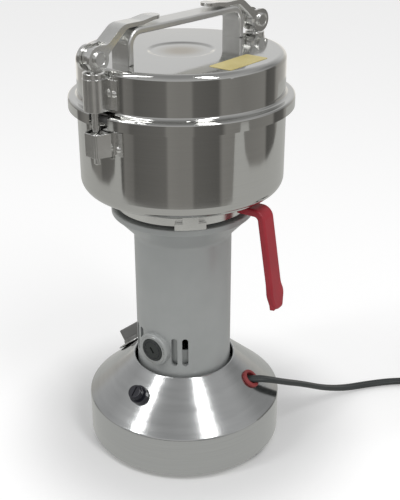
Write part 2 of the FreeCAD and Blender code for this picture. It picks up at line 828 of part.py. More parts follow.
def make_lock_ring():
    """The turning ring with three claws, and the steel bar welded to it."""
    ring = tube(RING_OUT_R, RING_IN_R, RING_LOW, RING_HIGH)
    claws = []
    for index in range(CLAW_COUNT):
        angle = CLAW_ANGLE + 360 / CLAW_COUNT * index
        claws.append(sector(RING_IN_R + 0.5, CLAW_IN_R, CLAW_SPREAD, CLAW_LOW, RING_HIGH, angle))
    bar = lever_frame(bent_bar(lever_path(-1.0, LEVER_DROP), LEVER_THICK, LEVER_WIDE))
    bore = disc(RING_IN_R, RING_LOW - 1, RING_HIGH + 1)
    return joined([ring.fuse(bar.cut(bore))] + claws)


def paddle_plate(thickness):
    """The grip's swollen end, drawn in the strip's plane with X along the drop, then stood up."""
    half = LEVER_WIDE / 2 + GRIP_SKIN
    long = LEVER_DROP / math.cos(math.radians(LEVER_LEAN)) + GRIP_END_EXTRA
    wide = half + PADDLE_SWELL
    narrow = half + PADDLE_SWELL * 0.35
    plate = slab([
        (long - PADDLE_LONG - 12, -half), (long - PADDLE_LONG + 6, -half, 20), (long - 14, -narrow, 14),
        (long, -half + 3, 8), (long, half - 2, 5), (long - 13, wide, 11), (long - PADDLE_LONG + 8, half, 14),
        (long - PADDLE_LONG - 12, half),
    ], -thickness, 0)
    nub = Part.makeSphere(NUB_R, Vector(long - 1.2, half - 2.2, -thickness / 2))
    plate = plate.fuse(nub)
    plate.rotate(Vector(0, 0, 0), Vector(0, 1, 0), 90 - LEVER_LEAN)
    return plate


def broad_edges(shape, start):
    """The edges round a bent strip's broad faces, but for the seams between them and its near end."""
    counts = {}
    edges = {}
    for face in shape.Faces:
        side = face.normalAt(*[sum(pair) / 2 for pair in (face.ParameterRange[:2], face.ParameterRange[2:])])
        if abs(side.y) > 0.02 or face.Area < 80:
            continue
        for edge in face.Edges:
            key = edge.hashCode()
            counts[key] = counts.get(key, 0) + 1
            edges[key] = edge
    return [edges[key] for key in edges if counts[key] == 1 and edges[key].CenterOfMass.x > start + 0.1]


def make_lever_grip():
    """The soft red coat dipped over the bar, with a paddle-shaped end and a drip nub."""
    start = GRIP_START
    skin = GRIP_SKIN
    top = RING_HIGH + LEVER_RISE + skin
    lean = math.radians(LEVER_LEAN)
    thickness = LEVER_THICK + 2 * skin
    drop = LEVER_DROP - PADDLE_LONG
    corner = LEVER_REACH + skin
    path = [(start, top, 0), (corner, top, LEVER_BEND_R + skin), (corner + drop * math.tan(lean), top - drop, 0)]
    coat = bent_bar(path, thickness, LEVER_WIDE + 2 * skin)
    coat = coat.fuse(moved(paddle_plate(thickness), corner, 0, top)).removeSplitter()
    coat = coat.makeFillet(skin * 1.5, broad_edges(coat, start))
    bar = bent_bar(lever_path(start - 10, LEVER_DROP), LEVER_THICK, LEVER_WIDE)
    return lever_frame(coat.cut(bar))


# Bowl

def make_bowl():
    """Deep-drawn cup with a flange, notched where the draw bolts pass."""
    path = [
        (HUB_SLEEVE_R, BOWL_BOTTOM, 0),
        (BOWL_R, BOWL_BOTTOM, BOWL_CORNER_R),
        (BOWL_R, BOWL_FLANGE_TOP - BOWL_SHEET, 1.5),
        (BOWL_FLANGE_R, BOWL_FLANGE_TOP - BOWL_SHEET, 0),
    ]
    bowl = turned(sheet_section(path, BOWL_SHEET))
    return bowl.cut([about_axis(make_notch(BOWL_FLANGE_TOP + 1), side) for side in (0, 180)])


def make_notch(top):
    """The gap in a flange for one draw bolt, with its inner corners rounded."""
    plan = [
        (NOTCH_START, -NOTCH_WIDE / 2, 3), (RIM_R + 5, -NOTCH_WIDE / 2),
        (RIM_R + 5, NOTCH_WIDE / 2), (NOTCH_START, NOTCH_WIDE / 2, 3),
    ]
    return slab(plan, RIM_BOTTOM - 5, top)


def make_bowl_hub():
    """A casting under the bowl: bearing sleeve, flange and three tabs for the lock ring."""
    bore = HUB_BEARING_R
    way = BLADE_SHAFT_R + 2
    high = HUB_BEARING_LOW + 2 * HUB_BEARING_WIDE
    hub = turned([
        (COUPLING_R + 1.5, HUB_BOTTOM), (HUB_R, HUB_BOTTOM), (HUB_R, BOWL_BOTTOM),
        (HUB_SLEEVE_R, BOWL_BOTTOM), (HUB_SLEEVE_R, HUB_SLEEVE_TOP, 1.5), (way, HUB_SLEEVE_TOP, 0.5),
        (way, high), (bore, high), (bore, HUB_BEARING_LOW), (COUPLING_R + 1.5, HUB_BEARING_LOW),
    ])
    tabs = []
    for index in range(CLAW_COUNT):
        angle = CLAW_ANGLE + 360 / CLAW_COUNT * index
        tabs.append(sector(TAB_R, HUB_R - 1, TAB_SPREAD, HUB_BOTTOM + 1, CLAW_LOW - SEAT, angle))
    return joined([hub] + tabs)


def make_hub_bearings():
    bearings = []
    for index in range(2):
        low = HUB_BEARING_LOW + HUB_BEARING_WIDE * index
        bearings.append(bearing(BLADE_SHAFT_R + RUN, HUB_BEARING_R, low, HUB_BEARING_WIDE))
    return group(bearings)


def make_shaft_seal():
    """A rubber lip seal on top of the sleeve."""
    low = HUB_SLEEVE_TOP
    return turned([
        (BLADE_SHAFT_R + RUN, low), (HUB_SLEEVE_R - 5, low), (HUB_SLEEVE_R - 5.5, low + SEAL_TALL, 0.8),
        (BLADE_SHAFT_R + RUN, low + SEAL_TALL),
    ])


def make_blade_shaft():
    """Shaft with a square end that drops into the drive coupling."""
    square = block(-3.5, 3.5, -3.5, 3.5, BLADE_SHAFT_LOW, HUB_BEARING_LOW)
    return joined([square.common(disc(4.7, BLADE_SHAFT_LOW, HUB_BEARING_LOW)),
                   disc(BLADE_SHAFT_R, HUB_BEARING_LOW, BLADE_SHAFT_HIGH)])


def make_blade(level, angle, rise):
    """A flat blade with ground leading edges and tips bent up or down."""
    tip_start = BLADE_REACH - 14
    line = [
        (-BLADE_REACH, level + rise, 0), (-tip_start, level, 6), (tip_start, level, 6), (BLADE_REACH, level + rise, 0),
    ]
    bar = side_plate(sheet_section(line, BLADE_THICK), -BLADE_WIDE / 2, BLADE_WIDE / 2)
    plan = [
        (-BLADE_REACH, -2), (-14, -BLADE_WIDE / 2, 8), (14, -BLADE_WIDE / 2, 8), (BLADE_REACH, -BLADE_WIDE / 2 + 1),
        (BLADE_REACH, 2), (14, BLADE_WIDE / 2, 8), (-14, BLADE_WIDE / 2, 8), (-BLADE_REACH, BLADE_WIDE / 2 - 1),
    ]
    form = slab(plan, level - 12, level + 14)
    blade = bar.common(form)
    blade = blade.cut(disc(BLADE_SHAFT_R, level - 5, level + 10))
    return about_axis(blade, angle)


def make_blade_spacers():
    """Rings that keep the blades apart, the lowest one standing off the seal."""
    rings = []
    low = HUB_SLEEVE_TOP + SEAL_TALL + CLEAR
    for level in BLADE_LEVELS:
        rings.append(tube(SPACER_R, BLADE_SHAFT_R, low, level))
        low = level + BLADE_THICK
    return group(rings)


def make_blade_nut():
    low = BLADE_LEVELS[-1] + BLADE_THICK
    hexagon = slab(regular(6, NUT_ACROSS), low, low + NUT_TALL)
    crown = turned([(0, low), (NUT_ACROSS / 2 + 1.2, low), (NUT_ACROSS / 2 + 1.2, low + NUT_TALL - 1.5),
                    (NUT_ACROSS / 2 - 1, low + NUT_TALL), (0, low + NUT_TALL)])
    return hexagon.common(crown).cut(disc(BLADE_SHAFT_R, low - 1, low + NUT_TALL + 1))


# Lid

def make_lid():
    """Spun cup with a dished top, a flange and a rim turned down over the bowl's flange."""
    path = [
        (RIM_R, RIM_BOTTOM, 0),
        (RIM_R, RIM_TOP, RIM_EDGE_R),
        (LID_R, RIM_TOP, LID_FILLET_R),
        (LID_R, LID_TOP, LID_SHOULDER_R),
        (DISH_R + 3, LID_TOP, 4),
        (DISH_R, LID_TOP - DISH_DEPTH, 4),
        (0, LID_TOP - DISH_DEPTH, 0),
    ]
    lid = turned(sheet_section(path, LID_SHEET))
    return lid.cut([about_axis(make_notch(RIM_TOP + 0.2), side) for side in (0, 180)])


def make_lid_gasket():
    low = BOWL_FLANGE_TOP
    high = RIM_TOP - LID_SHEET - SEAT
    return turned([
        (GASKET_IN_R, low, 0.8), (GASKET_OUT_R, low, 0.8), (GASKET_OUT_R, high, 0.8), (GASKET_IN_R, high, 0.8),
    ])


def make_strap_handle():
    """A flat bar bent into a low bridge, both feet welded to the lid."""
    path = [
        (STRAP_REACH, LID_TOP, 0), (STRAP_REACH, STRAP_TOP, STRAP_BEND_R),
        (-STRAP_REACH, STRAP_TOP, STRAP_BEND_R), (-STRAP_REACH, LID_TOP, 0),
    ]
    strap = side_plate(sheet_section(path, STRAP_THICK), -STRAP_WIDE / 2, STRAP_WIDE / 2)
    long_edges = [edge for edge in strap.Edges if abs(abs(edge.CenterOfMass.y) - STRAP_WIDE / 2) < 0.01]
    return strap.makeFillet(STRAP_EDGE_R, long_edges)


# Latches: each is made at +X, and the front one is turned half round the mill

def make_guide_bracket():
    """A folded half-round sleeve on the lid's wall with a riveted wing each side and a top plate."""
    wall = LID_R
    half_round = disc(BRACKET_R, BRACKET_BOTTOM, BRACKET_TOP, BOLT_REACH)
    sides = block(wall - 4, BOLT_REACH, -BRACKET_R, BRACKET_R, BRACKET_BOTTOM, BRACKET_TOP)
    inner_r = BRACKET_R - BRACKET_SHEET
    hollow_high = BRACKET_TOP - BRACKET_CAP
    hollow = disc(inner_r, BRACKET_BOTTOM - 1, hollow_high, BOLT_REACH)
    channel = block(wall - 5, BOLT_REACH, -inner_r, inner_r, BRACKET_BOTTOM - 1, hollow_high)
    spread = 2 * math.degrees(math.asin(WING_REACH / wall))
    wings = sector(wall + BRACKET_SHEET, wall - 1, spread, BRACKET_BOTTOM, BRACKET_TOP - BRACKET_CAP)
    body = joined([half_round, sides, wings]).cut([hollow, channel])
    bore = disc(BOLT_R + RUN, BRACKET_TOP - 5, BRACKET_TOP + 1, BOLT_REACH)
    return body.cut([bore, disc(wall, BRACKET_BOTTOM - 2, BRACKET_TOP + 2)])


def make_keeper():
    """A folded hat-shaped bracket on the bowl's wall, with a wing each side."""
    wall = BOWL_R
    sheet = BRACKET_SHEET
    outer = [
        (wall - 4, -KEEPER_ROOT_WIDE / 2), (wall + 4, -KEEPER_ROOT_WIDE / 2, 2),
        (KEEPER_FRONT, -KEEPER_FRONT_WIDE / 2, 2.5), (KEEPER_FRONT, KEEPER_FRONT_WIDE / 2, 2.5),
        (wall + 4, KEEPER_ROOT_WIDE / 2, 2), (wall - 4, KEEPER_ROOT_WIDE / 2),
    ]
    inner = [
        (wall - 5, -KEEPER_ROOT_WIDE / 2 + sheet), (wall + 4, -KEEPER_ROOT_WIDE / 2 + sheet, 2),
        (KEEPER_FRONT - sheet, -KEEPER_FRONT_WIDE / 2 + sheet, 1), (KEEPER_FRONT - sheet, KEEPER_FRONT_WIDE / 2 - sheet, 1),
        (wall + 4, KEEPER_ROOT_WIDE / 2 - sheet, 2), (wall - 5, KEEPER_ROOT_WIDE / 2 - sheet),
    ]
    hat = slab(outer, KEEPER_BOTTOM, KEEPER_TOP)
    spread = 2 * math.degrees(math.asin(KEEPER_WING_REACH / wall))
    wings = sector(wall + sheet, wall - 1, spread, KEEPER_BOTTOM, KEEPER_TOP)
    body = joined([hat, wings]).cut(slab(inner, KEEPER_BOTTOM - 1, KEEPER_TOP + 1))
    return body.cut(disc(wall, KEEPER_BOTTOM - 2, KEEPER_TOP + 2))


def make_keeper_nut():
    """The threaded block inside the keeper, welded to its front plate."""
    high = KEEPER_TOP - NUT_TOP_STEP
    front = KEEPER_FRONT - BRACKET_SHEET
    half = KEEPER_FRONT_WIDE / 2 - BRACKET_SHEET
    nut = block(BOWL_R + NUT_WALL, front, -half, half, high - NUT_BLOCK_TALL, high)
    nut = nut.makeFillet(1.4, [edge for edge in nut.Edges if abs(edge.CenterOfMass.x - front) < 0.01
                               and abs(abs(edge.CenterOfMass.y) - half) < 0.01])
    return nut.cut(disc(BOLT_R + RUN, high - NUT_BLOCK_TALL - 1, high + 1, BOLT_REACH))


def wall_rivet(wall, off, height):
    """A domed rivet that stands square to a round wall."""
    angle = math.degrees(math.asin(off / wall))
    face = wall + BRACKET_SHEET
    dome_r = (RIVET_R ** 2 + RIVET_RISE ** 2) / (2 * RIVET_RISE)
    ball = Part.makeSphere(dome_r, Vector(face + RIVET_RISE - dome_r, 0, height))
    keep = Part.makeCylinder(RIVET_R + 1, RIVET_RISE + 1, Vector(face, 0, height), Vector(1, 0, 0))
    return about_axis(ball.common(keep), angle)


def four_rivets(wall, off, height):
    rivets = []
    for side in (0, 180):
        for sign in (-1, 1):
            rivets.append(about_axis(wall_rivet(wall, sign * off, height), side))
    return group(rivets)


def make_bracket_rivets():
    off = (BRACKET_R + WING_REACH) / 2
    return four_rivets(LID_R, off, (BRACKET_BOTTOM + BRACKET_TOP) / 2)


def make_keeper_rivets():
    off = (KEEPER_ROOT_WIDE / 2 + KEEPER_WING_REACH) / 2
    return four_rivets(BOWL_R, off, KEEPER_BOTTOM + 5.5)


def make_washer():
    return tube(WASHER_R, BOLT_R + RUN, BRACKET_TOP + SEAT / 2, BRACKET_TOP + WASHER_TALL, BOLT_REACH)


def make_draw_bolt():
    """A shank with a flat round head that the cam lever's pin passes through."""
    shank = disc(BOLT_R, BOLT_BOTTOM, PIN_HEIGHT - 2, BOLT_REACH)
    half = BOLT_HEAD_WIDE / 2
    head = bar_along_y(BOLT_HEAD_R, -half, half, BOLT_REACH, PIN_HEIGHT)
    bolt = joined([shank, head])
    bolt = bolt.makeChamfer(0.8, [edge for edge in bolt.Edges if abs(edge.CenterOfMass.z - BOLT_BOTTOM) < 0.01])
    return bolt.cut(bar_along_y(PIN_R + RUN, -half - 1, half + 1, BOLT_REACH, PIN_HEIGHT))


def make_latch_pin():
    """A riveted pin with a low domed head each side."""
    half = LEVER_FORK_WIDE / 2
    shaft = bar_along_y(PIN_R, -half, half, BOLT_REACH, PIN_HEIGHT)
    head = bar_along_y(PIN_HEAD_R, half, half + PIN_HEAD, BOLT_REACH, PIN_HEIGHT)
    head = head.makeFillet(PIN_HEAD * 0.8, [edge for edge in head.Edges if edge.CenterOfMass.y > half + PIN_HEAD - 0.01])
    other = head.mirror(Vector(0, 0, 0), Vector(0, 1, 0))
    return joined([shaft, head, other])


def make_cam_lever():
    """A cast lever: two cam eyes round the pin, a channel that curves up over the strap, a thumb tab.

    The outline is drawn away from the pin, towards the mill's axis.
    """
    eye_z = PIN_HEIGHT - EYE_DROP
    out = BOLT_REACH
    spine = [
        (out - 3, PIN_HEIGHT + 9.0), (out - 9, PIN_HEIGHT + 8.6, 8), (out - 25, PIN_HEIGHT + 20.6, 14),
        (out - 45, PIN_HEIGHT + 20.4, 30), (out - 57, PIN_HEIGHT + 22.0, 20), (out - 66.5, PIN_HEIGHT + 22.0),
        (out - 66.5, PIN_HEIGHT + 19.5), (out - 56, PIN_HEIGHT + 19.2, 20), (out - 46, PIN_HEIGHT + 17.5, 20),
        (out - 29, PIN_HEIGHT + 17.2, 8), (out - 17, PIN_HEIGHT + 8.0, 6), (out - 9, PIN_HEIGHT + 1.0, 5),
        (out - 4, PIN_HEIGHT - 5.0),
    ]
    half = LEVER_FORK_WIDE / 2
    arm = side_plate(spine, -half, half)
    eye = bar_along_y(EYE_R, -half, half, out, eye_z)
    lever = joined([eye, arm])
    tab = slab([(out - 70, -half - 0.5, 7.4), (out + 30, -half - 0.5), (out + 30, half + 0.5), (out - 70, half + 0.5, 7.4)],
               PIN_HEIGHT - 20, PIN_HEIGHT + 40)
    tip = slab([(out - 66.5, -half, 6.8), (out + 30, -half), (out + 30, half), (out - 66.5, half, 6.8)],
               PIN_HEIGHT - 20, PIN_HEIGHT + 40)
    lever = lever.common(tab).common(tip)
    slot_half = FORK_SLOT_WIDE / 2
    fork = block(out - 10, out + 20, -slot_half, slot_half, PIN_HEIGHT - 20, PIN_HEIGHT + 20)
    channel = side_plate([
        (out - 9.5, PIN_HEIGHT - 12), (out - 9.5, PIN_HEIGHT + 4.6), (out - 21, PIN_HEIGHT + 14.6, 6),
        (out - 30, PIN_HEIGHT + 17.0, 4), (out - 40, PIN_HEIGHT + 10), (out - 40, PIN_HEIGHT - 12),
    ], -half + FORK_WALL, half - FORK_WALL)
    hole = bar_along_y(PIN_R, -half - 1, half + 1, out, PIN_HEIGHT)
    return lever.cut([fork, channel, hole])


def front(shape):
    return about_axis(shape, 180)


# Fittings on the cone

def make_fuse_holder():
    """A panel holder: a knurled collar outside and a barrel inside the cone."""
    collar = slab(regular(16, 2 * FUSE_COLLAR_R), 0, FUSE_COLLAR)
    barrel = disc(FUSE_BARREL_R, -FUSE_BARREL, 1)
    holder = joined([collar, barrel])
    bore = disc(4.4 + CLEAR, -FUSE_BARREL + 4, FUSE_COLLAR + 1)
    return on_cone(holder.cut(bore), FUSE_ANGLE, FUSE_OUT)


def make_fuse_cap():
    """The bayonet cap that holds the fuse, with a screwdriver slot."""
    head = turned([(0, FUSE_COLLAR + SEAT), (FUSE_CAP_R, FUSE_COLLAR + SEAT), (FUSE_CAP_R, FUSE_COLLAR + FUSE_CAP_TALL, 1.2),
                   (0, FUSE_COLLAR + FUSE_CAP_TALL)])
    stem = tube(4.4, GLASS_R + 0.4, -7, FUSE_COLLAR + SEAT + 0.5)
    slot = block(-4.5, 4.5, -0.6, 0.6, FUSE_COLLAR + FUSE_CAP_TALL - 1.2, FUSE_COLLAR + FUSE_CAP_TALL + 1)
    cap = joined([head, stem]).cut(slot)
    return on_cone(cap, FUSE_ANGLE, FUSE_OUT)


def make_fuse():
    return on_cone(disc(GLASS_R, -FUSE_BARREL + 4, -5), FUSE_ANGLE, FUSE_OUT)


def make_timer_body():
    """The clockwork timer switch behind the cone, with its spindle."""
    top = -BASE_SHEET - TIMER_STANDOFF
    body = disc(TIMER_BODY_R, top - TIMER_BODY, top)
    bush = disc(SPINDLE_R + BUSH_WALL - RUN, top - 1, 0)
    spindle = disc(SPINDLE_R, -1, 9.0)
    return on_cone(joined([body, bush, spindle]), TIMER_ANGLE, TIMER_OUT)


def make_dial_plate():
    bore = SPINDLE_R + BUSH_WALL
    plate = turned([(bore, 0), (DIAL_R, 0), (DIAL_R, DIAL_THICK, 0.6), (bore, DIAL_THICK)])
    return on_cone(plate, TIMER_ANGLE, TIMER_OUT)


def make_timer_knob():
    """A moulded knob: a round skirt with a rounded bar grip across it."""
    low = DIAL_THICK + SEAT
    skirt = turned([(0, low), (KNOB_R + 0.6, low), (KNOB_R, low + KNOB_BASE, 1.2), (0, low + KNOB_BASE)])
    half = KNOB_GRIP_WIDE / 2
    grip = slab([(-KNOB_R + 0.5, -half, 2.8), (KNOB_R - 0.5, -half, 2.8), (KNOB_R - 0.5, half, 2.8), (-KNOB_R + 0.5, half, 2.8)],
                low + KNOB_BASE - 1, low + KNOB_BASE + KNOB_GRIP_TALL)
    top = low + KNOB_BASE + KNOB_GRIP_TALL
    grip = grip.makeFillet(1.2, [edge for edge in grip.Edges if abs(edge.CenterOfMass.z - top) < 0.01])
    knob = joined([skirt, grip])
    knob.rotate(Vector(0, 0, 0), Vector(0, 0, 1), KNOB_REST)
    return on_cone(knob.cut(disc(SPINDLE_R + RUN, low - 1, 9.3)), TIMER_ANGLE, TIMER_OUT)


def make_cord_grommet():
    """A soft ring that lines the cord's hole in the cone and gives way where the cord bends."""
    inner = -BASE_SHEET - 0.6
    ring = turned([
        (GROMMET_BORE_R, inner - 2, 0.8), (GROMMET_R - 0.5, inner - 2, 0.8), (GROMMET_R - 0.5, inner),
        (GROMMET_R - GROMMET_LIP, inner), (GROMMET_R - GROMMET_LIP, 0), (GROMMET_R, 0),
        (GROMMET_R, GROMMET_PROUD, 1.4), (GROMMET_BORE_R, GROMMET_PROUD, 0.8),
    ])
    return on_cone(ring, GROMMET_ANGLE, GROMMET_OUT).cut(make_mains_cord())


# Mains cord

def cord_edges():
    """The route as straight runs joined by arcs as large as their runs allow."""
    points = [Vector(*point) for point in CORD_ROUTE]
    radii = [0.0]
    for before, corner, after in zip(points, points[1:], points[2:]):
        first = corner - before
        second = after - corner
        turn = first.getAngle(second)
        shorter = min(first.Length, second.Length)
        radii.append(0.45 * shorter / math.tan(turn / 2))
    radii.append(0.0)
    print("cord radii", [round(radius) for radius in radii[1:-1]])
    return edges_along(points, radii, False)


def make_mains_cord():
    path = Part.Wire(cord_edges())
    start = Vector(*CORD_ROUTE[0])
    heading = Vector(*CORD_ROUTE[1]) - start
    section = Part.Wire(Part.makeCircle(CORD_R, start, heading))
    cord = path.makePipeShell([section], True, False)
    print("cord length", round(path.Length, 1), "volume ratio",
          round(cord.Volume / (math.pi * CORD_R ** 2 * path.Length), 4))
    return cord.cut(make_cord_coil())


def make_cord_coil():
    x, y = COIL_CENTRE
    ring = turned([
        (COIL_R - COIL_BAND / 2, 0.1, 3), (COIL_R + COIL_BAND / 2, 0.1, 3),
        (COIL_R + COIL_BAND / 2, COIL_TALL, 3), (COIL_R - COIL_BAND / 2, COIL_TALL, 3),
    ])
    return moved(ring, x, y, 0)


def make_mains_plug():
    """A moulded two-pin plug on the floor, its tapered tail where the last turn leaves the coil."""
    wide = PLUG_WIDE / 2
    start = PLUG_TAIL
    end = PLUG_TAIL + PLUG_LONG
    body = slab([(start, -wide + 4, 5), (end, -wide, 5), (end, wide, 5), (start, wide - 4, 5)], 0.1, PLUG_TALL)
    tail = Part.makeCone(CORD_R, CORD_R + 2.0, PLUG_TAIL + 1, Vector(0, 0, PLUG_TALL / 2), Vector(1, 0, 0))
    pins = []
    for off in (-PLUG_PIN_SPREAD, PLUG_PIN_SPREAD):
        pins.append(Part.makeCylinder(PLUG_PIN_R, PLUG_PIN_LONG + 1, Vector(end - 1, off, PLUG_TALL / 2), Vector(1, 0, 0)))
    plug = joined([body, tail] + pins)
    plug.rotate(Vector(0, 0, 0), Vector(0, 0, 1), PLUG_ANGLE + 90)
    x, y = on_circle(COIL_R + COIL_BAND / 2 - CORD_R, PLUG_ANGLE)
    out = Vector(x, y, 0) + Vector(*on_circle(12.0, PLUG_ANGLE + 90), 0)
    return moved(plug, COIL_CENTRE[0] + out.x, COIL_CENTRE[1] + out.y, 0).cut(make_cord_coil())


def nodes():
    """Every piece by its name."""
    return {
        "base_shell": make_base_shell(),
        "base_plate": make_base_plate(),
        "rubber_feet": make_rubber_feet(),
        "base_screws": make_base_screws(),
        "motor_seat": make_motor_seat(),
        "motor_housing": make_motor_housing(),
        "brush_caps": make_brush_caps(),
        "brush_holders": make_brush_holders(),
        "carbon_brushes": make_carbon_brushes(),
        "stator_core": make_stator_core(),
        "field_coils": make_field_coils(),
        "lower_bracket": make_lower_bracket(),
        "lower_bearing": make_lower_bearing(),
        "upper_bearing": make_upper_bearing(),
        "motor_shaft": make_motor_shaft(),
        "armature_core": make_armature_core(),
        "armature_windings": make_armature_windings(),
        "commutator": make_commutator(),
        "cooling_fan": make_cooling_fan(),
        "drive_coupling": make_drive_coupling(),
        "ring_guides": make_ring_guides(),
        "lock_ring": make_lock_ring(),
        "lever_grip": make_lever_grip(),
        "bowl": make_bowl(),
        "bowl_hub": make_bowl_hub(),
        "hub_bearings": make_hub_bearings(),
        "shaft_seal": make_shaft_seal(),
        "blade_shaft": make_blade_shaft(),
        "lower_blade": make_blade(BLADE_LEVELS[0], BLADE_ANGLES[0], -BLADE_TIP_RISE),
        "middle_blade": make_blade(BLADE_LEVELS[1], BLADE_ANGLES[1], 0.5),
        "upper_blade": make_blade(BLADE_LEVELS[2], BLADE_ANGLES[2], BLADE_TIP_RISE),
        "blade_spacers": make_blade_spacers(),
        "blade_nut": make_blade_nut(),
        "lid": make_lid(),
        "lid_gasket": make_lid_gasket(),
        "strap_handle": make_strap_handle(),
        "guide_brackets": group([make_guide_bracket(), front(make_guide_bracket())]),
        "bracket_rivets": make_bracket_rivets(),
        "keepers": group([make_keeper(), front(make_keeper())]),
        "keeper_nuts": group([make_keeper_nut(), front(make_keeper_nut())]),
        "keeper_rivets": make_keeper_rivets(),
        "front_washer": front(make_washer()),
        "rear_washer": make_washer(),
        "front_bolt": front(make_draw_bolt()),
        "rear_bolt": make_draw_bolt(),
        "front_pin": front(make_latch_pin()),
        "rear_pin": make_latch_pin(),
        "front_lever": front(make_cam_lever()),
        "rear_lever": make_cam_lever(),
        "fuse_holder": make_fuse_holder(),
        "fuse_cap": make_fuse_cap(),
        "fuse": make_fuse(),
        "timer_body": make_timer_body(),
        "dial_plate": make_dial_plate(),
        "timer_knob": make_timer_knob(),
        "cord_grommet": make_cord_grommet(),
        "mains_cord": make_mains_cord(),
        "cord_coil": make_cord_coil(),
        "mains_plug": make_mains_plug(),
    }


os.makedirs("parts", exist_ok=True)
for name, shape in nodes().items():
    shape.exportStep("parts/" + name + ".step")
    box = shape.BoundBox
    print(f"{name:18s} solids {len(shape.Solids)} valid {shape.isValid()} volume {shape.Volume:9.1f} "
          f"z {box.ZMin:.1f} to {box.ZMax:.1f}")
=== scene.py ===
# %% [markdown]
# # A high-speed grinding mill
# A steel bowl with a clamped lid sits on a grey cast motor housing, and that stands on a spun steel base.
# The engineering model is loaded first as a fixed frame. It already has the true sizes, so every later piece
# takes its place from it.

# %% Load the frame
import bpy
import bmesh
import json
import math
from mathutils import Matrix, Vector

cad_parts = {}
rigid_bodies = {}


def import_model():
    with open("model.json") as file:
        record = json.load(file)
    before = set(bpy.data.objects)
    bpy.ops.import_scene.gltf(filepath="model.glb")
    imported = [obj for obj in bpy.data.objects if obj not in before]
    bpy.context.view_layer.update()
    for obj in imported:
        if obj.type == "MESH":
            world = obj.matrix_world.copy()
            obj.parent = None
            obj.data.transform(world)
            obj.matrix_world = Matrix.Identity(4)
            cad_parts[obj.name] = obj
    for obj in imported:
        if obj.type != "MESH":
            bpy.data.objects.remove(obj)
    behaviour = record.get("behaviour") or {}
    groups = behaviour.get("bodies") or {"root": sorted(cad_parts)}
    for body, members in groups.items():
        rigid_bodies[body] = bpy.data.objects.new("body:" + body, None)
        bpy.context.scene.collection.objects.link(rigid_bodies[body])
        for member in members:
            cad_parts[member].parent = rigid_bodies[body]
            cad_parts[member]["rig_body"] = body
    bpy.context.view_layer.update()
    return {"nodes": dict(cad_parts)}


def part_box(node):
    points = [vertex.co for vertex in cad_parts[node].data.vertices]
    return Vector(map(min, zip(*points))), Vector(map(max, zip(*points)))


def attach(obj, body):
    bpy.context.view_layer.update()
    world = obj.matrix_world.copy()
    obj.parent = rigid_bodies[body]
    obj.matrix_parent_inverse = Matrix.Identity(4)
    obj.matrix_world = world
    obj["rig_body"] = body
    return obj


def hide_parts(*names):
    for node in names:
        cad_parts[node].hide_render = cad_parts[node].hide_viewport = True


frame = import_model()
nodes = frame["nodes"]

# %% [markdown]
# ## Camera
# The photograph was taken from close by, from the side of the red lever and about 25 degrees above the bowl.
# A camera could be aimed with a constraint, but plain numbers for its place and turn keep the same view
# every time, and the small shift centres the mill as the photograph does.

# %% Camera
VIEW_TURN = math.radians(-47)
VIEW_TILT = math.radians(90 - 25.22)
VIEW_ROLL = math.radians(-0.55)
VIEW_LENS = 64.7
VIEW_SHIFT = (0.0327, -0.0126)
CAMERA_PLACE = (-0.5178, -0.4837, 0.5205)
camera_data = bpy.data.cameras.new("studio_camera")
camera_data.lens = VIEW_LENS
camera_data.sensor_width = 36
camera_data.shift_x, camera_data.shift_y = VIEW_SHIFT
camera_data.clip_start = 0.05
camera_data.clip_end = 30
camera = bpy.data.objects.new("studio_camera", camera_data)
turn = Matrix.Rotation(VIEW_TURN, 4, "Z") @ Matrix.Rotation(VIEW_TILT, 4, "X")
turn = turn @ Matrix.Rotation(VIEW_ROLL, 4, "Z")
camera.matrix_world = Matrix.Translation(CAMERA_PLACE) @ turn
bpy.context.scene.collection.objects.link(camera)
bpy.context.scene.camera = camera
print("camera is", round(camera.location.length, 3), "m from the foot of the mill")

# %% [markdown]
# ## Node helpers
# A material is a tree of small nodes. Each tree below is built by a few short helpers: one adds a node and
# sets its values, one joins two sockets, and the others stand for steps that return often. They keep the
# later cells short enough to read as recipes.

# %% Node helpers


def add_node(tree, kind, values=None, **settings):
    """Adds one node, sets its own settings, then the values of its unlinked inputs."""
    node = tree.nodes.new(kind)
    for key, value in settings.items():
        setattr(node, key, value)
    for key, value in (values or {}).items():
        node.inputs[key].default_value = value
    return node


def join(tree, source, target):
    """Links an output to an input."""
    tree.links.new(source, target)


def ramp(tree, socket, stops):
    """The colour that a value has on a ramp of (position, grey or colour) stops."""
    node = add_node(tree, "ShaderNodeValToRGB")
    join(tree, socket, node.inputs["Fac"])
    line = node.color_ramp
    while len(line.elements) < len(stops):
        line.elements.new(0.5)
    for element, (position, colour) in zip(line.elements, stops):
        element.position = position
        if isinstance(colour, (int, float)):
            colour = (colour, colour, colour)
        element.color = (*colour, 1.0)
    return node.outputs["Color"]


def maths(tree, operation, first, second=None):
    """One Math node whose inputs are sockets or plain numbers."""
    node = add_node(tree, "ShaderNodeMath", operation=operation)
    for index, value in enumerate((first, second)):
        if value is None:
            continue
        if isinstance(value, (int, float)):
            node.inputs[index].default_value = value
        else:
            join(tree, value, node.inputs[index])
    return node.outputs[0]


def remap(tree, socket, start, end, low, high, curve="LINEAR"):
    """Maps start..end of a value to low..high, and holds it there beyond."""
    node = add_node(tree, "ShaderNodeMapRange", interpolation_type=curve)
    for key, value in (("From Min", start), ("From Max", end), ("To Min", low), ("To Max", high)):
        node.inputs[key].default_value = value
    join(tree, socket, node.inputs["Value"])
    return node.outputs["Result"]


def coordinate(tree, output="Object"):
    """A place on the surface as one socket, and its x, y and z."""
    place = add_node(tree, "ShaderNodeTexCoord").outputs[output]
    parts = add_node(tree, "ShaderNodeSeparateXYZ")
    join(tree, place, parts.inputs[0])
    return place, *parts.outputs


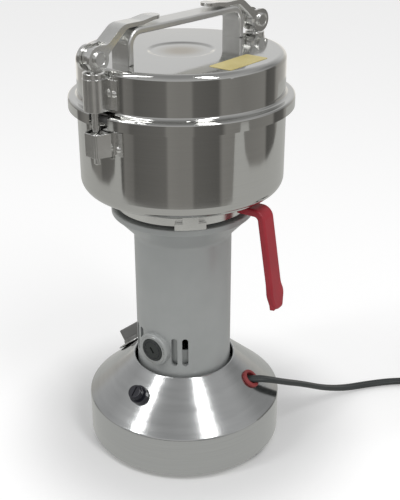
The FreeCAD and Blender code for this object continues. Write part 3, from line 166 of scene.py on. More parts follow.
def level_length(tree, x, y):
    """The distance from the mill's axis."""
    squares = maths(tree, "ADD", maths(tree, "MULTIPLY", x, x), maths(tree, "MULTIPLY", y, y))
    return maths(tree, "SQRT", squares)


def mix_colour(tree, share, first, second, blend="MIX"):
    """Two colours by a share. Each colour is a socket or a plain value."""
    node = add_node(tree, "ShaderNodeMix", data_type="RGBA", blend_type=blend)
    join(tree, share, node.inputs[0])
    for target, colour in ((node.inputs[6], first), (node.inputs[7], second)):
        if isinstance(colour, tuple):
            target.default_value = (*colour, 1)
        else:
            join(tree, colour, target)
    return node.outputs[2]


print("helpers ready")

# %% [markdown]
# ## Effects shared by many finishes
# Turned and spun metal carries very fine rings where the tool or the polishing belt ran round it. A texture
# stretched along the rings could show a seam where its angle starts again. Here the place on the surface is
# turned into a direction from the mill's axis plus a length along the profile, so the rings close on
# themselves, on walls, cones and flat tops alike.

# %% Lathe rings group


def make_lathe_rings():
    tree = bpy.data.node_groups.new("lathe_rings", "ShaderNodeTree")
    tree.interface.new_socket("Rings per metre", in_out="INPUT", socket_type="NodeSocketFloat")
    tree.interface.new_socket("Round", in_out="INPUT", socket_type="NodeSocketFloat")
    tree.interface.new_socket("Rings", in_out="OUTPUT", socket_type="NodeSocketFloat")
    tree.interface.new_socket("Patches", in_out="OUTPUT", socket_type="NodeSocketFloat")
    entry = add_node(tree, "NodeGroupInput")
    leave = add_node(tree, "NodeGroupOutput")
    place, x, y, z = coordinate(tree)
    radius = maths(tree, "MAXIMUM", level_length(tree, x, y), 0.0005)
    along = maths(tree, "ADD", z, radius)
    spot = add_node(tree, "ShaderNodeCombineXYZ")
    for index, side in enumerate((x, y)):
        heading = maths(tree, "DIVIDE", side, radius)
        join(tree, maths(tree, "MULTIPLY", heading, entry.outputs["Round"]), spot.inputs[index])
    join(tree, maths(tree, "MULTIPLY", along, entry.outputs["Rings per metre"]), spot.inputs[2])
    fine = add_node(tree, "ShaderNodeTexNoise", {"Scale": 1.0, "Detail": 3.0, "Roughness": 0.6})
    join(tree, spot.outputs[0], fine.inputs["Vector"])
    broad = add_node(tree, "ShaderNodeTexNoise", {"Scale": 34.0, "Detail": 3.0, "Roughness": 0.55})
    join(tree, place, broad.inputs["Vector"])
    join(tree, fine.outputs["Fac"], leave.inputs["Rings"])
    join(tree, broad.outputs["Fac"], leave.inputs["Patches"])
    return tree


lathe_rings = make_lathe_rings()
print("group", lathe_rings.name, len(lathe_rings.nodes), "nodes")

# %% [markdown]
# Handled and brushed parts show short straight scratches that run along the piece, with a few faint smudges.
# A picture of scratches could be used, but a noise stretched along one axis needs no picture and has no end.

# %% Brushed grain group


def make_brushed_grain():
    tree = bpy.data.node_groups.new("brushed_grain", "ShaderNodeTree")
    tree.interface.new_socket("Along", in_out="INPUT", socket_type="NodeSocketVector")
    tree.interface.new_socket("Grain", in_out="OUTPUT", socket_type="NodeSocketFloat")
    tree.interface.new_socket("Smudges", in_out="OUTPUT", socket_type="NodeSocketFloat")
    entry = add_node(tree, "NodeGroupInput")
    leave = add_node(tree, "NodeGroupOutput")
    place = add_node(tree, "ShaderNodeTexCoord")
    stretch = add_node(tree, "ShaderNodeVectorMath", operation="MULTIPLY")
    join(tree, place.outputs["Object"], stretch.inputs[0])
    join(tree, entry.outputs["Along"], stretch.inputs[1])
    grain = add_node(tree, "ShaderNodeTexNoise", {"Scale": 1.0, "Detail": 4.0, "Roughness": 0.65})
    join(tree, stretch.outputs[0], grain.inputs["Vector"])
    smudge = add_node(tree, "ShaderNodeTexNoise", {"Scale": 90.0, "Detail": 2.0, "Distortion": 0.6})
    join(tree, place.outputs["Object"], smudge.inputs["Vector"])
    join(tree, grain.outputs["Fac"], leave.inputs["Grain"])
    join(tree, smudge.outputs["Fac"], leave.inputs["Smudges"])
    return tree


brushed_grain = make_brushed_grain()
print("group", brushed_grain.name, len(brushed_grain.nodes), "nodes")

# %% [markdown]
# Moulded resin, rubber and paint have a fine skin texture instead, like the peel of an orange, and a slow
# change of gloss. One group gives both.

# %% Moulded skin group


def make_moulded_skin():
    tree = bpy.data.node_groups.new("moulded_skin", "ShaderNodeTree")
    tree.interface.new_socket("Size", in_out="INPUT", socket_type="NodeSocketFloat")
    tree.interface.new_socket("Skin", in_out="OUTPUT", socket_type="NodeSocketFloat")
    tree.interface.new_socket("Cloud", in_out="OUTPUT", socket_type="NodeSocketFloat")
    entry = add_node(tree, "NodeGroupInput")
    leave = add_node(tree, "NodeGroupOutput")
    place = add_node(tree, "ShaderNodeTexCoord")
    skin = add_node(tree, "ShaderNodeTexNoise", {"Detail": 2.0, "Roughness": 0.5})
    join(tree, place.outputs["Object"], skin.inputs["Vector"])
    join(tree, entry.outputs["Size"], skin.inputs["Scale"])
    cloud = add_node(tree, "ShaderNodeTexNoise", {"Scale": 45.0, "Detail": 3.0})
    join(tree, place.outputs["Object"], cloud.inputs["Vector"])
    join(tree, skin.outputs["Fac"], leave.inputs["Skin"])
    join(tree, cloud.outputs["Fac"], leave.inputs["Cloud"])
    return tree


moulded_skin = make_moulded_skin()
print("group", moulded_skin.name, len(moulded_skin.nodes), "nodes")

# %% [markdown]
# ## Metals of the turned pieces
# The bowl and lid are polished almost to a mirror, and the base keeps more of its spinning marks. Both are
# one recipe with other numbers: rings drive a slight bump and the roughness, patches shift the roughness
# where hands and the polishing belt changed it. The tangent runs round the axis, so highlights stretch
# across the rings as they do on real turned steel.

# %% Turned steel


def start_material(name, **constants):
    """A Principled material with its constants set on the shader's own sockets."""
    material = bpy.data.materials.new(name)
    material.use_nodes = True
    tree = material.node_tree
    shader = tree.nodes["Principled BSDF"]
    for key, value in constants.items():
        shader.inputs[key.replace("_", " ")].default_value = value
    return material, tree, shader


def place_group(tree, group, **values):
    """One use of a shared group, with its own values."""
    node = add_node(tree, "ShaderNodeGroup")
    node.node_tree = group
    for key, value in values.items():
        node.inputs[key.replace("_", " ")].default_value = value
    return node


def spread(tree, socket, low, high):
    """Maps a noise value, which mostly lies from 0.3 to 0.7, to low..high."""
    return remap(tree, socket, 0.3, 0.7, low, high)


def bump(tree, shader, height, distance):
    """Drives the shader's normal by a height, its full depth given in metres."""
    node = add_node(tree, "ShaderNodeBump", {"Distance": distance})
    join(tree, height, node.inputs["Height"])
    join(tree, node.outputs["Normal"], shader.inputs["Normal"])


def tint(tree, shader, socket, dark, light):
    """Base colour between two close colours, by a varying value."""
    join(tree, ramp(tree, socket, [(0.3, dark), (0.7, light)]), shader.inputs["Base Color"])


def turned_steel(name, dark, light, smooth, rough, rings, depth, stretch):
    """Steel with fine rings round the mill's axis, its highlights stretched across them."""
    material, tree, shader = start_material(name, Metallic=1.0, Anisotropic=stretch)
    marks = place_group(tree, lathe_rings, Rings_per_metre=rings, Round=1.2)
    tint(tree, shader, marks.outputs["Rings"], dark, light)
    wear = maths(tree, "ADD", maths(tree, "MULTIPLY", marks.outputs["Rings"], 0.5),
                 maths(tree, "MULTIPLY", marks.outputs["Patches"], 0.5))
    join(tree, spread(tree, wear, smooth, rough), shader.inputs["Roughness"])
    bump(tree, shader, marks.outputs["Rings"], depth)
    way = add_node(tree, "ShaderNodeTangent", direction_type="RADIAL", axis="Z")
    join(tree, way.outputs[0], shader.inputs["Tangent"])
    return material


MIRROR_POLISH = {
    "dark": (0.57, 0.57, 0.555), "light": (0.61, 0.61, 0.595), "smooth": 0.060, "rough": 0.090, "rings": 2600,
    "depth": 0.0000003, "stretch": 0.3,
}
polished_steel = turned_steel("polished_steel", **MIRROR_POLISH)
spun_steel = turned_steel("spun_steel", (0.56, 0.57, 0.57), (0.61, 0.62, 0.62), 0.09, 0.15, 1900,
                          0.000005, 0.8)
dial_steel = turned_steel("dial_steel", (0.55, 0.55, 0.54), (0.62, 0.62, 0.61), 0.18, 0.3, 1500,
                          0.000006, 0.3)
print("turned metals", polished_steel.name, spun_steel.name, dial_steel.name)

# %% [markdown]
# The middle of the lid carries a soft brownish tint, partly a smudge left by polishing and partly a painted
# reflection of its shallow dish. It is the same polish with one more colour mixed in by the distance from the
# axis, so it needs no painted picture.

# %% Lid steel with its smudge and painted reflection
SMUDGE_AND_REFLECTION_FULL_R = 0.004
SMUDGE_AND_REFLECTION_END_R = 0.024
SMUDGE_AND_REFLECTION_COLOUR = (0.40, 0.36, 0.29)
lid_steel = turned_steel("lid_steel", **MIRROR_POLISH)
tree = lid_steel.node_tree
base_colour = tree.nodes["Principled BSDF"].inputs["Base Color"]
plain_colour = base_colour.links[0].from_socket
x, y = coordinate(tree)[1:3]
# smudge and painted reflection: a brownish tint mixed in towards the lid's middle
smudge_and_reflection = remap(tree, level_length(tree, x, y), SMUDGE_AND_REFLECTION_FULL_R, SMUDGE_AND_REFLECTION_END_R, 1, 0, "SMOOTHSTEP")
join(tree, mix_colour(tree, smudge_and_reflection, plain_colour, SMUDGE_AND_REFLECTION_COLOUR), base_colour)
print(lid_steel.name, len(tree.nodes), "nodes")

# %% [markdown]
# ## Metals of the flat and pressed pieces
# The handle, levers, brackets and bolts are pressed or cut from bar and then tumbled bright. Their grain
# runs along the bar. The same recipe with other colours makes the ground shafts, brass and copper inside.

# %% Brushed metals


def brushed_metal(name, dark, light, smooth, rough, along, depth=0.000006):
    """Bare metal with straight grain. The grain is finest along the axes with the largest scale."""
    material, tree, shader = start_material(name, Metallic=1.0)
    marks = place_group(tree, brushed_grain, Along=along)
    tint(tree, shader, marks.outputs["Smudges"], dark, light)
    wear = maths(tree, "ADD", maths(tree, "MULTIPLY", marks.outputs["Grain"], 0.6),
                 maths(tree, "MULTIPLY", marks.outputs["Smudges"], 0.4))
    join(tree, spread(tree, wear, smooth, rough), shader.inputs["Roughness"])
    bump(tree, shader, marks.outputs["Grain"], depth)
    return material


ALONG_X = (60, 900, 900)
satin_steel = brushed_metal("satin_steel", (0.74, 0.74, 0.725), (0.80, 0.80, 0.785), 0.18, 0.26, ALONG_X,
                            depth=0.000002)
strap_steel = brushed_metal("strap_steel", (0.78, 0.78, 0.765), (0.84, 0.84, 0.825), 0.30, 0.42, ALONG_X)
shaft_steel = brushed_metal("shaft_steel", (0.52, 0.53, 0.54), (0.60, 0.61, 0.62), 0.16, 0.3, (300, 300, 900))
brass = brushed_metal("brass", (0.62, 0.44, 0.17), (0.72, 0.53, 0.24), 0.22, 0.36, (200, 900, 900))
copper = brushed_metal("copper", (0.48, 0.19, 0.09), (0.66, 0.28, 0.14), 0.28, 0.42, (900, 900, 1600),
                       depth=0.00006)
iron_core = brushed_metal("iron_core", (0.17, 0.18, 0.19), (0.27, 0.28, 0.29), 0.4, 0.55, (20, 20, 2400),
                          depth=0.00005)
print("brushed metals", satin_steel.name, shaft_steel.name, brass.name, copper.name, iron_core.name)

# %% [markdown]
# ## Paint, resin and rubber
# The motor housing is a casting under a smooth silver-grey paint. The small fittings are hard resin, the feet
# and seals are rubber, and the lever is dipped in soft red vinyl. They share one recipe: a little colour
# change by the cloud, roughness by the cloud, and the skin as a bump.

# %% Moulded materials


def moulded(name, dark, light, smooth, rough, size, depth, **constants):
    """Paint, resin or rubber with a fine skin."""
    material, tree, shader = start_material(name, **constants)
    skin = place_group(tree, moulded_skin, Size=size)
    tint(tree, shader, skin.outputs["Cloud"], dark, light)
    join(tree, spread(tree, skin.outputs["Cloud"], smooth, rough), shader.inputs["Roughness"])
    bump(tree, shader, skin.outputs["Skin"], depth)
    return material


housing_metal = moulded("housing_metal", (0.395, 0.41, 0.405), (0.425, 0.44, 0.435), 0.36, 0.44, 2600,
                        0.00002, Metallic=0.25, Coat_Weight=0.25, Coat_Roughness=0.2)
cap_resin = moulded("cap_resin", (0.016, 0.020, 0.019), (0.026, 0.031, 0.029), 0.22, 0.34, 2200, 0.00002)
fuse_resin = moulded("fuse_resin", (0.012, 0.012, 0.017), (0.022, 0.022, 0.030), 0.16, 0.28, 2200, 0.00001)
knob_resin = moulded("knob_resin", (0.21, 0.21, 0.205), (0.25, 0.25, 0.245), 0.3, 0.42, 2000, 0.00003,
                     Metallic=0.6)
moulded_fan = moulded("moulded_fan", (0.02, 0.02, 0.02), (0.035, 0.035, 0.035), 0.4, 0.55, 1600, 0.00004)
carbon = moulded("carbon", (0.010, 0.010, 0.011), (0.022, 0.022, 0.023), 0.45, 0.6, 5000, 0.00005)
red_dip = moulded("red_dip", (0.33, 0.016, 0.028), (0.40, 0.024, 0.038), 0.36, 0.48, 900, 0.00006)
grommet_red = moulded("grommet_red", (0.24, 0.030, 0.032), (0.31, 0.045, 0.045), 0.42, 0.55, 1500, 0.00004)
seal_rubber = moulded("seal_rubber", (0.10, 0.10, 0.098), (0.15, 0.15, 0.147), 0.5, 0.65, 1500, 0.00004)
foot_rubber = moulded("foot_rubber", (0.011, 0.011, 0.012), (0.022, 0.022, 0.023), 0.5, 0.7, 1500, 0.00006)
cord_sheath = moulded("cord_sheath", (0.030, 0.034, 0.034), (0.045, 0.050, 0.050), 0.42, 0.56, 1800, 0.00003)
fuse_glass = moulded("fuse_glass", (0.75, 0.78, 0.78), (0.82, 0.84, 0.84), 0.03, 0.06, 800, 0.000002,
                     Transmission_Weight=0.9, IOR=1.5)
print("materials so far", len(bpy.data.materials))

# %% [markdown]
# ## Finishes for the nodes of the model
# The record says which finish each node has, by a slot name. Each slot gets the material of the same name,
# so no node is left with a single flat colour, the hidden motor pieces included. The strap and the lid get
# their own steels after that, because the strap is duller than the latches and the lid has its smudge and
# painted reflection in the middle.

# %% Put the finishes on the nodes
slot_of = {}
for name, node in nodes.items():
    for entry in node.material_slots:
        slot_of[name] = entry.material.name.split(".")[0]
fresh = {
    "polished_steel": polished_steel, "satin_steel": satin_steel, "spun_steel": spun_steel,
    "housing_metal": housing_metal, "shaft_steel": shaft_steel, "iron_core": iron_core, "copper": copper,
    "brass": brass, "carbon": carbon, "moulded_fan": moulded_fan, "cap_resin": cap_resin,
    "fuse_resin": fuse_resin, "fuse_glass": fuse_glass, "knob_resin": knob_resin, "dial_steel": dial_steel,
    "red_dip": red_dip, "grommet_red": grommet_red, "seal_rubber": seal_rubber, "foot_rubber": foot_rubber,
    "cord_sheath": cord_sheath,
}
for name, node in nodes.items():
    for entry in node.material_slots:
        entry.material = fresh[slot_of[name]]
nodes["strap_handle"].material_slots[0].material = strap_steel
nodes["lid"].material_slots[0].material = lid_steel
print("nodes finished", len(nodes))

# %% [markdown]
# ## Pressed pieces with worked edges
# In the model the latch parts have sharp corners, because a press leaves them nearly sharp. A real corner is
# still broken by tumbling, and it is the thin bright line along each edge that the eye reads as metal. A copy
# of the node is merged to whole faces, and a bevel modifier rounds every corner that is sharper than the
# angle given.

# %% Edge rounding for a copy of a node


def smooth_but_corners(shape, angle):
    """Shades every face smooth, with a hard edge only where two faces meet more sharply than the angle."""
    for face in shape.faces:
        face.smooth = True
    for edge in shape.edges:
        if len(edge.link_faces) == 2:
            edge.smooth = edge.calc_face_angle(0) < math.radians(angle)


def finish_piece(name, shape):
    """Turns a bmesh into an object at the origin."""
    mesh = bpy.data.meshes.new(name)
    shape.to_mesh(mesh)
    shape.free()
    piece = bpy.data.objects.new(name, mesh)
    bpy.context.scene.collection.objects.link(piece)
    return piece


def worked_copy(name, width, segments=2, angle=32):
    """A merged copy of a node with rounded corners. It stands for the node and rides where it did."""
    source = nodes[name]
    shape = bmesh.new()
    shape.from_mesh(source.data)
    bmesh.ops.remove_doubles(shape, verts=shape.verts, dist=0.000002)
    bmesh.ops.dissolve_limit(shape, angle_limit=math.radians(0.6), verts=shape.verts, edges=shape.edges)
    smooth_but_corners(shape, angle)
    piece = finish_piece(name + "_worked", shape)
    piece.data.materials.append(fresh[slot_of[name]])
    edges = piece.modifiers.new("broken_edges", "BEVEL")
    edges.width = width
    edges.segments = segments
    edges.limit_method = "ANGLE"
    edges.angle_limit = math.radians(angle)
    edges.use_clamp_overlap = True
    level = piece.modifiers.new("face_normals", "WEIGHTED_NORMAL")
    level.keep_sharp = True
    level.weight = 80
    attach(piece, source["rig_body"])
    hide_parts(name)
    return piece


EDGE_WIDTHS = {
    "front_lever": 0.0005, "rear_lever": 0.0005, "guide_brackets": 0.0003, "keepers": 0.0003,
    "keeper_nuts": 0.0004, "front_bolt": 0.0003, "rear_bolt": 0.0003, "front_washer": 0.0004,
    "rear_washer": 0.0004, "ring_guides": 0.0004, "lock_ring": 0.0004,
}
for name, width in EDGE_WIDTHS.items():
    made = worked_copy(name, width)
    print(made.name, len(made.data.polygons), "faces")

# %% [markdown]
# ## Coated bar end and knob
# The lever was dipped with its end first, so the vinyl covers the end of the steel bar too. One cut across
# the bar, high up inside the coat, divides its long faces without changing its form, and the faces below the
# cut take the coat's red. The timer's knob only gets its corners rounded.

# %% Coat the bar's end, round the knob
COAT_CUT = 0.158
bar = bpy.data.objects["lock_ring_worked"].data
bar.materials.append(red_dip)
bar_shape = bmesh.new()
bar_shape.from_mesh(bar)
bmesh.ops.bisect_plane(bar_shape, geom=bar_shape.verts[:] + bar_shape.edges[:] + bar_shape.faces[:],
                       plane_co=(0, 0, COAT_CUT), plane_no=(0, 0, 1))
coated_faces = 0
for face in bar_shape.faces:
    if face.calc_center_median().z < COAT_CUT:
        face.material_index = 1
        coated_faces += 1
bar_shape.to_mesh(bar)
bar_shape.free()
knob = worked_copy("timer_knob", 0.0004, 3)
print("coated faces", coated_faces, "knob faces", len(knob.data.polygons))

# %% [markdown]
# ## Small turned parts
# Rivets, rings and ribs are turned parts. Each is drawn as half a side view, a chain of points from the axis
# outwards, and spun round its axis. Lofted rings would do too, but a spun profile is how a lathe makes them.

# %% Lathe helper
TURNED_CORNER = 35


def lathe(shape, profile, place, steps=40, closed=False):
    """Spins a profile of (radius, height) pairs, in millimetres, round Z and sets it at a place."""
    chain = [shape.verts.new((radius / 1000, 0, height / 1000)) for radius, height in profile]
    pairs = list(zip(chain, chain[1:])) + ([(chain[-1], chain[0])] if closed else [])
    edges = [shape.edges.new(pair) for pair in pairs]
    before = set(shape.verts) - set(chain)
    bmesh.ops.spin(shape, geom=chain + edges, axis=(0, 0, 1), cent=(0, 0, 0), steps=steps, angle=2 * math.pi,
                   use_merge=True, use_duplicate=False)
    made = [vertex for vertex in shape.verts if vertex not in before]
    bmesh.ops.remove_doubles(shape, verts=made, dist=0.000001)
    made = [vertex for vertex in shape.verts if vertex not in before]
    bmesh.ops.transform(shape, matrix=place, verts=made)


def turned_piece(name, shape, material, body):
    """Makes a piece of what the lathe left, and lets it ride on a body."""
    bmesh.ops.recalc_face_normals(shape, faces=shape.faces)
    smooth_but_corners(shape, TURNED_CORNER)
    piece = finish_piece(name, shape)
    piece.data.materials.append(material)
    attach(piece, body)
    print(name, len(piece.data.polygons), "faces")


print("lathe ready")

# %% [markdown]
# The latch pins are hollow rivets: a round lip with a shallow dish in it, one each side of the fork. The
# brush caps show a fine groove, and the housing has a bright machined ring round each of them.

# %% Rivet heads and rings
PIN_REACH = 0.093
PIN_HEIGHT = 0.367
PIN_PROFILE = [(0, 7.9), (2.4, 8.0), (4.0, 8.5), (4.5, 8.95), (5.0, 9.0), (5.5, 8.7), (5.7, 8.2), (5.7, 7.0)]
for name, sign in (("front_pin", -1), ("rear_pin", 1)):
    rivet = bmesh.new()
    for side in (90, -90):
        eye = Matrix.Translation((PIN_REACH * sign, 0, PIN_HEIGHT))
        lathe(rivet, PIN_PROFILE, eye @ Matrix.Rotation(math.radians(side), 4, "X"))
    turned_piece(name + "_rivets", rivet, satin_steel, nodes[name]["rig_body"])
BOSS_TURN = -173.5
BOSS_HEIGHT = 0.102
GROOVE_R = 8.0
CAP_FACE = 47.2
WIRE_R = 0.35
groove_profile = []
for turn in range(0, 360, 60):
    angle = math.radians(turn)
    groove_profile.append((GROOVE_R + WIRE_R * math.cos(angle), CAP_FACE + WIRE_R * math.sin(angle)))
ring_profile = [(10.85, 45.6), (11.2, 46.2), (12.9, 46.75), (13.2, 46.4)]
grooves = bmesh.new()
rings = bmesh.new()
for side in (0, 180):
    lying = Matrix.Translation((0, 0, BOSS_HEIGHT)) @ Matrix.Rotation(math.pi / 2, 4, "Y")
    outward = Matrix.Rotation(math.radians(BOSS_TURN + side), 4, "Z") @ lying
    lathe(grooves, groove_profile, outward, closed=True)
    lathe(rings, ring_profile, outward)
turned_piece("cap_grooves", grooves, fuse_resin, nodes["brush_caps"]["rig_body"])
bright_ring = brushed_metal("bright_ring", (0.50, 0.51, 0.51), (0.58, 0.59, 0.59), 0.24, 0.36,
                            (500, 500, 500))
turned_piece("boss_rings", rings, bright_ring, nodes["motor_housing"]["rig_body"])

# %% [markdown]
# The fuse cap has three fine ribs for the fingers. It stands square on the base's cone, so its place is
# worked out from the cone's foot and top.

# %% Ribs of the fuse cap
CONE_FOOT_R, CONE_FOOT_Z = 0.0875, 0.0420
CONE_TOP_R, CONE_TOP_Z = 0.0447, 0.0798
FUSE_TURN = -174.5
FUSE_REACH = 0.0636
RIB_HEIGHTS = (6.6, 8.2, 9.8)
cone_tilt = math.atan2(CONE_TOP_Z - CONE_FOOT_Z, CONE_FOOT_R - CONE_TOP_R)
fuse_height = CONE_FOOT_Z + (CONE_FOOT_R - FUSE_REACH) * math.tan(cone_tilt)
fuse_place = Matrix.Translation((FUSE_REACH, 0, fuse_height)) @ Matrix.Rotation(cone_tilt, 4, "Y")
fuse_place = Matrix.Rotation(math.radians(FUSE_TURN), 4, "Z") @ fuse_place
ribs = bmesh.new()
for height in RIB_HEIGHTS:
    rib_profile = [(6.1, height - 0.45), (6.55, height - 0.3), (6.55, height + 0.3), (6.1, height + 0.45)]
    lathe(ribs, rib_profile, fuse_place)
turned_piece("fuse_ribs", ribs, fuse_resin, nodes["fuse_cap"]["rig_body"])

# %% [markdown]
# ## Sticker on the lid
# A plain pale sticker lies on the lid beside the handle. It is a thin rectangle of film with round corners,
# made by a grid of one face whose corner points are bevelled, then drawn up to its own thickness, so its
# rim catches a fine line of light.

# %% Sticker
STICKER_LONG = 0.0474
STICKER_WIDE = 0.0203
STICKER_THICK = 0.00025
STICKER_CORNER_R = 0.0016
STICKER_PLACE = (-0.0033, -0.0620, 0.357)
STICKER_TURN = math.radians(3.2)
sticker_shape = bmesh.new()
bmesh.ops.create_grid(sticker_shape, x_segments=1, y_segments=1, size=0.5)
bmesh.ops.scale(sticker_shape, vec=(STICKER_LONG, STICKER_WIDE, 1), verts=sticker_shape.verts)
bmesh.ops.bevel(sticker_shape, geom=list(sticker_shape.verts), offset=STICKER_CORNER_R, segments=4,
                profile=0.5, affect="VERTICES", material=-1)
raised = bmesh.ops.extrude_face_region(sticker_shape, geom=list(sticker_shape.faces))
raised_verts = [item for item in raised["geom"] if isinstance(item, bmesh.types.BMVert)]
bmesh.ops.translate(sticker_shape, vec=(0, 0, STICKER_THICK), verts=raised_verts)
bmesh.ops.recalc_face_normals(sticker_shape, faces=sticker_shape.faces)
sticker_place = Matrix.Translation(STICKER_PLACE) @ Matrix.Rotation(STICKER_TURN, 4, "Z")
bmesh.ops.transform(sticker_shape, matrix=sticker_place, verts=sticker_shape.verts)
sticker = finish_piece("lid_sticker", sticker_shape)
sticker_film = moulded("sticker_film", (0.52, 0.43, 0.14), (0.62, 0.53, 0.23), 0.3, 0.42, 900, 0.00001)
sticker.data.materials.append(sticker_film)
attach(sticker, "cover")

# %% [markdown]
# ## Air guides behind the slots
# Behind the vent slots the housing has a curved inner wall that keeps fingers from the windings, so a slot
# shows grey metal and only part of one is dark. Each guide is a short profile spun round the mill's axis.
# The list gives its top, how many degrees past the boss it starts, and how many degrees wide it is.

# %% Air guides
GUIDE_R = 0.0362
GUIDE_THICK = 0.0012
GUIDE_FOOT = 0.086
GUIDES = [(0.1175, 17, 15), (0.1015, 32, 14), (0.1175, -46, 29)]


def air_guide(shape, top, start_degrees, spread_degrees):
    """A curved plate: an upright rectangle spun a few degrees round the mill's axis."""
    made = bmesh.ops.create_grid(shape, x_segments=1, y_segments=1, size=0.5)
    face = made["verts"][0].link_faces[0]
    middle = (GUIDE_FOOT + top) / 2
    stand_up = Matrix.Translation((GUIDE_R, 0, middle)) @ Matrix.Rotation(math.pi / 2, 4, "X")
    stand_up = stand_up @ Matrix.Diagonal((GUIDE_THICK, top - GUIDE_FOOT, 1, 1))
    turned = Matrix.Rotation(math.radians(start_degrees), 4, "Z") @ stand_up
    bmesh.ops.transform(shape, matrix=turned, verts=made["verts"])
    bmesh.ops.spin(shape, geom=[face] + made["verts"] + face.edges[:], axis=(0, 0, 1), cent=(0, 0, 0),
                   steps=8, angle=math.radians(spread_degrees), use_duplicate=False)


guide_shape = bmesh.new()
for side in (0, 180):
    for top, past_boss, degrees in GUIDES:
        air_guide(guide_shape, top, BOSS_TURN + side + past_boss, degrees)
bmesh.ops.recalc_face_normals(guide_shape, faces=guide_shape.faces)
air_guides = finish_piece("air_guides", guide_shape)
air_guides.data.materials.append(housing_metal)
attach(air_guides, "stand")
print("air guides", len(air_guides.data.polygons), "faces")

# %% [markdown]
# ## Mains cord
# The lead is a flat twin cord. It leaves the grommet in the cone, bends down to the table and runs off to the
# right. The rest of its length is put away in a neat coil with its plug beside it, outside the picture. A
# row of separate tubes could follow it, but one smooth spline with a flat two-lobed section is how such a
# cord is extruded, so the section is a small closed curve and the cord is the spline that carries it.

# %% Cord route
ROUTE = [
    (0.0195, -0.0549, 0.0610), (0.0264, -0.0650, 0.0634), (0.0371, -0.0720, 0.0598),
    (0.0540, -0.0761, 0.0506), (0.0789, -0.0795, 0.0375), (0.1099, -0.0834, 0.0190),
    (0.1387, -0.0894, 0.0070), (0.1628, -0.0998, 0.0041), (0.1859, -0.1165, 0.0041),
    (0.2053, -0.1381, 0.0041), (0.2215, -0.1599, 0.0037),
]
COIL_CENTRE = (0.2694, -0.1481)
COIL_START = (0.2360, -0.1764)
COIL_LAYERS = [(0.0446, 0.0027), (0.0356, 0.0027), (0.0356, 0.0079), (0.0446, 0.0079), (0.0356, 0.0131),
               (0.0448, 0.0110)]
CORD_WIDE = 0.0084
CORD_THICK = 0.0050
TURN_POINTS = 14
LAST_POINTS = 4
STEP_START = 0.6


def round_coil(radius, angle, height):
    """A point at a radius and an angle round the coil's own centre."""
    return (COIL_CENTRE[0] + radius * math.cos(angle), COIL_CENTRE[1] + radius * math.sin(angle), height)


def coil_points():
    """Turns beside and on each other: out, in, then up one layer, and so on."""
    start = math.atan2(COIL_START[1] - COIL_CENTRE[1], COIL_START[0] - COIL_CENTRE[0])
    last_level = len(COIL_LAYERS) - 1
    points = []
    for index in range(last_level * TURN_POINTS + LAST_POINTS):
        turns = index / TURN_POINTS
        level = min(int(turns), last_level)
        share = turns - level
        radius, height = COIL_LAYERS[level]
        if level < last_level and share > STEP_START:
            mix = (share - STEP_START) / (1 - STEP_START)
            mix = mix * mix * (3 - 2 * mix)
            radius = radius + (COIL_LAYERS[level + 1][0] - radius) * mix
            height = height + (COIL_LAYERS[level + 1][1] - height) * mix
        points.append(round_coil(radius, start + 2 * math.pi * turns, height))
    return points


print("route points", len(ROUTE), "coil points", len(coil_points()))

# %% [markdown]
# The coil's turns are more points of the same spline. The last turn leaves the coil straight into the plug's
# tail. The order and the end rule of a NURBS spline are set after its points, since before that they don't
# take. The curve itself has no section: it only gives the smooth line that the section is drawn along.

# %% Cord line
LEAVE_ANGLE = math.radians(-27)
LEAVE_HEADING = Vector((-math.sin(LEAVE_ANGLE), math.cos(LEAVE_ANGLE), 0))
LEAVE_R = 0.0450
LEAVE_Z = 0.0092
TAIL_LONG = 0.012
TAIL_DROP = Vector((0, 0, -0.0018))
IN_PLUG_LONG = 0.006
IN_PLUG_DROP = Vector((0, 0, -0.0022))
PLUG_BODY_LONG = 0.0542
leave = Vector(round_coil(LEAVE_R, LEAVE_ANGLE, LEAVE_Z))
tail = leave + LEAVE_HEADING * TAIL_LONG
in_plug = tail + LEAVE_HEADING * IN_PLUG_LONG
cord_points = ROUTE + coil_points() + [tuple(leave), tuple(tail + TAIL_DROP), tuple(in_plug + IN_PLUG_DROP)]
cord_curve = bpy.data.curves.new("cord_line", "CURVE")
cord_curve.dimensions = "3D"
cord_spline = cord_curve.splines.new("NURBS")
cord_spline.points.add(len(cord_points) - 1)
for point, place in zip(cord_spline.points, cord_points):
    point.co = (*place, 1.0)
cord_spline.order_u = 3
cord_spline.use_endpoint_u = True
cord_spline.resolution_u = 5
cord_guide = bpy.data.objects.new("cord_line", cord_curve)
cord_mesh = bpy.data.meshes.new_from_object(cord_guide)
cord_path = [vertex.co.copy() for vertex in cord_mesh.vertices]
bpy.data.objects.remove(cord_guide)

# %% [markdown]
# The section of a twin cord is two round conductors side by side with a shallow groove between them. It
# starts as a circle that is pinched at the middle, and an extrude for each place on the line carries it
# along, its broad side kept level.

# %% Cord sweep
SECTION_POINTS = 20
GROOVE_DEEP = 0.30
GROOVE_HALF_WIDE = 0.22
SQUARENESS = 0.75


def section_ring(shape, wide, thick, count):
    """A closed ring of edges in the form of a flat twin cord, round the origin in the YZ plane."""
    made = bmesh.ops.create_circle(shape, cap_ends=False, segments=count, radius=1.0)
    for vertex in made["verts"]:
        x, y = vertex.co.x, vertex.co.y
        groove = 1 - GROOVE_DEEP * math.exp(-(x / GROOVE_HALF_WIDE) ** 2)
        squared = math.copysign(abs(y) ** SQUARENESS, y)
        vertex.co = Vector((0, x * wide / 2, squared * thick / 2 * groove))
    return made["verts"]


def facing(path, index):
    """The frame of a level section at one place of a line."""
    before = path[max(index - 1, 0)]
    after = path[min(index + 1, len(path) - 1)]
    ahead = (after - before).normalized()
    side = Vector((0, 0, 1)).cross(ahead).normalized()
    above = ahead.cross(side)
    turn = Matrix((ahead, side, above)).transposed().to_4x4()
    return Matrix.Translation(path[index]) @ turn


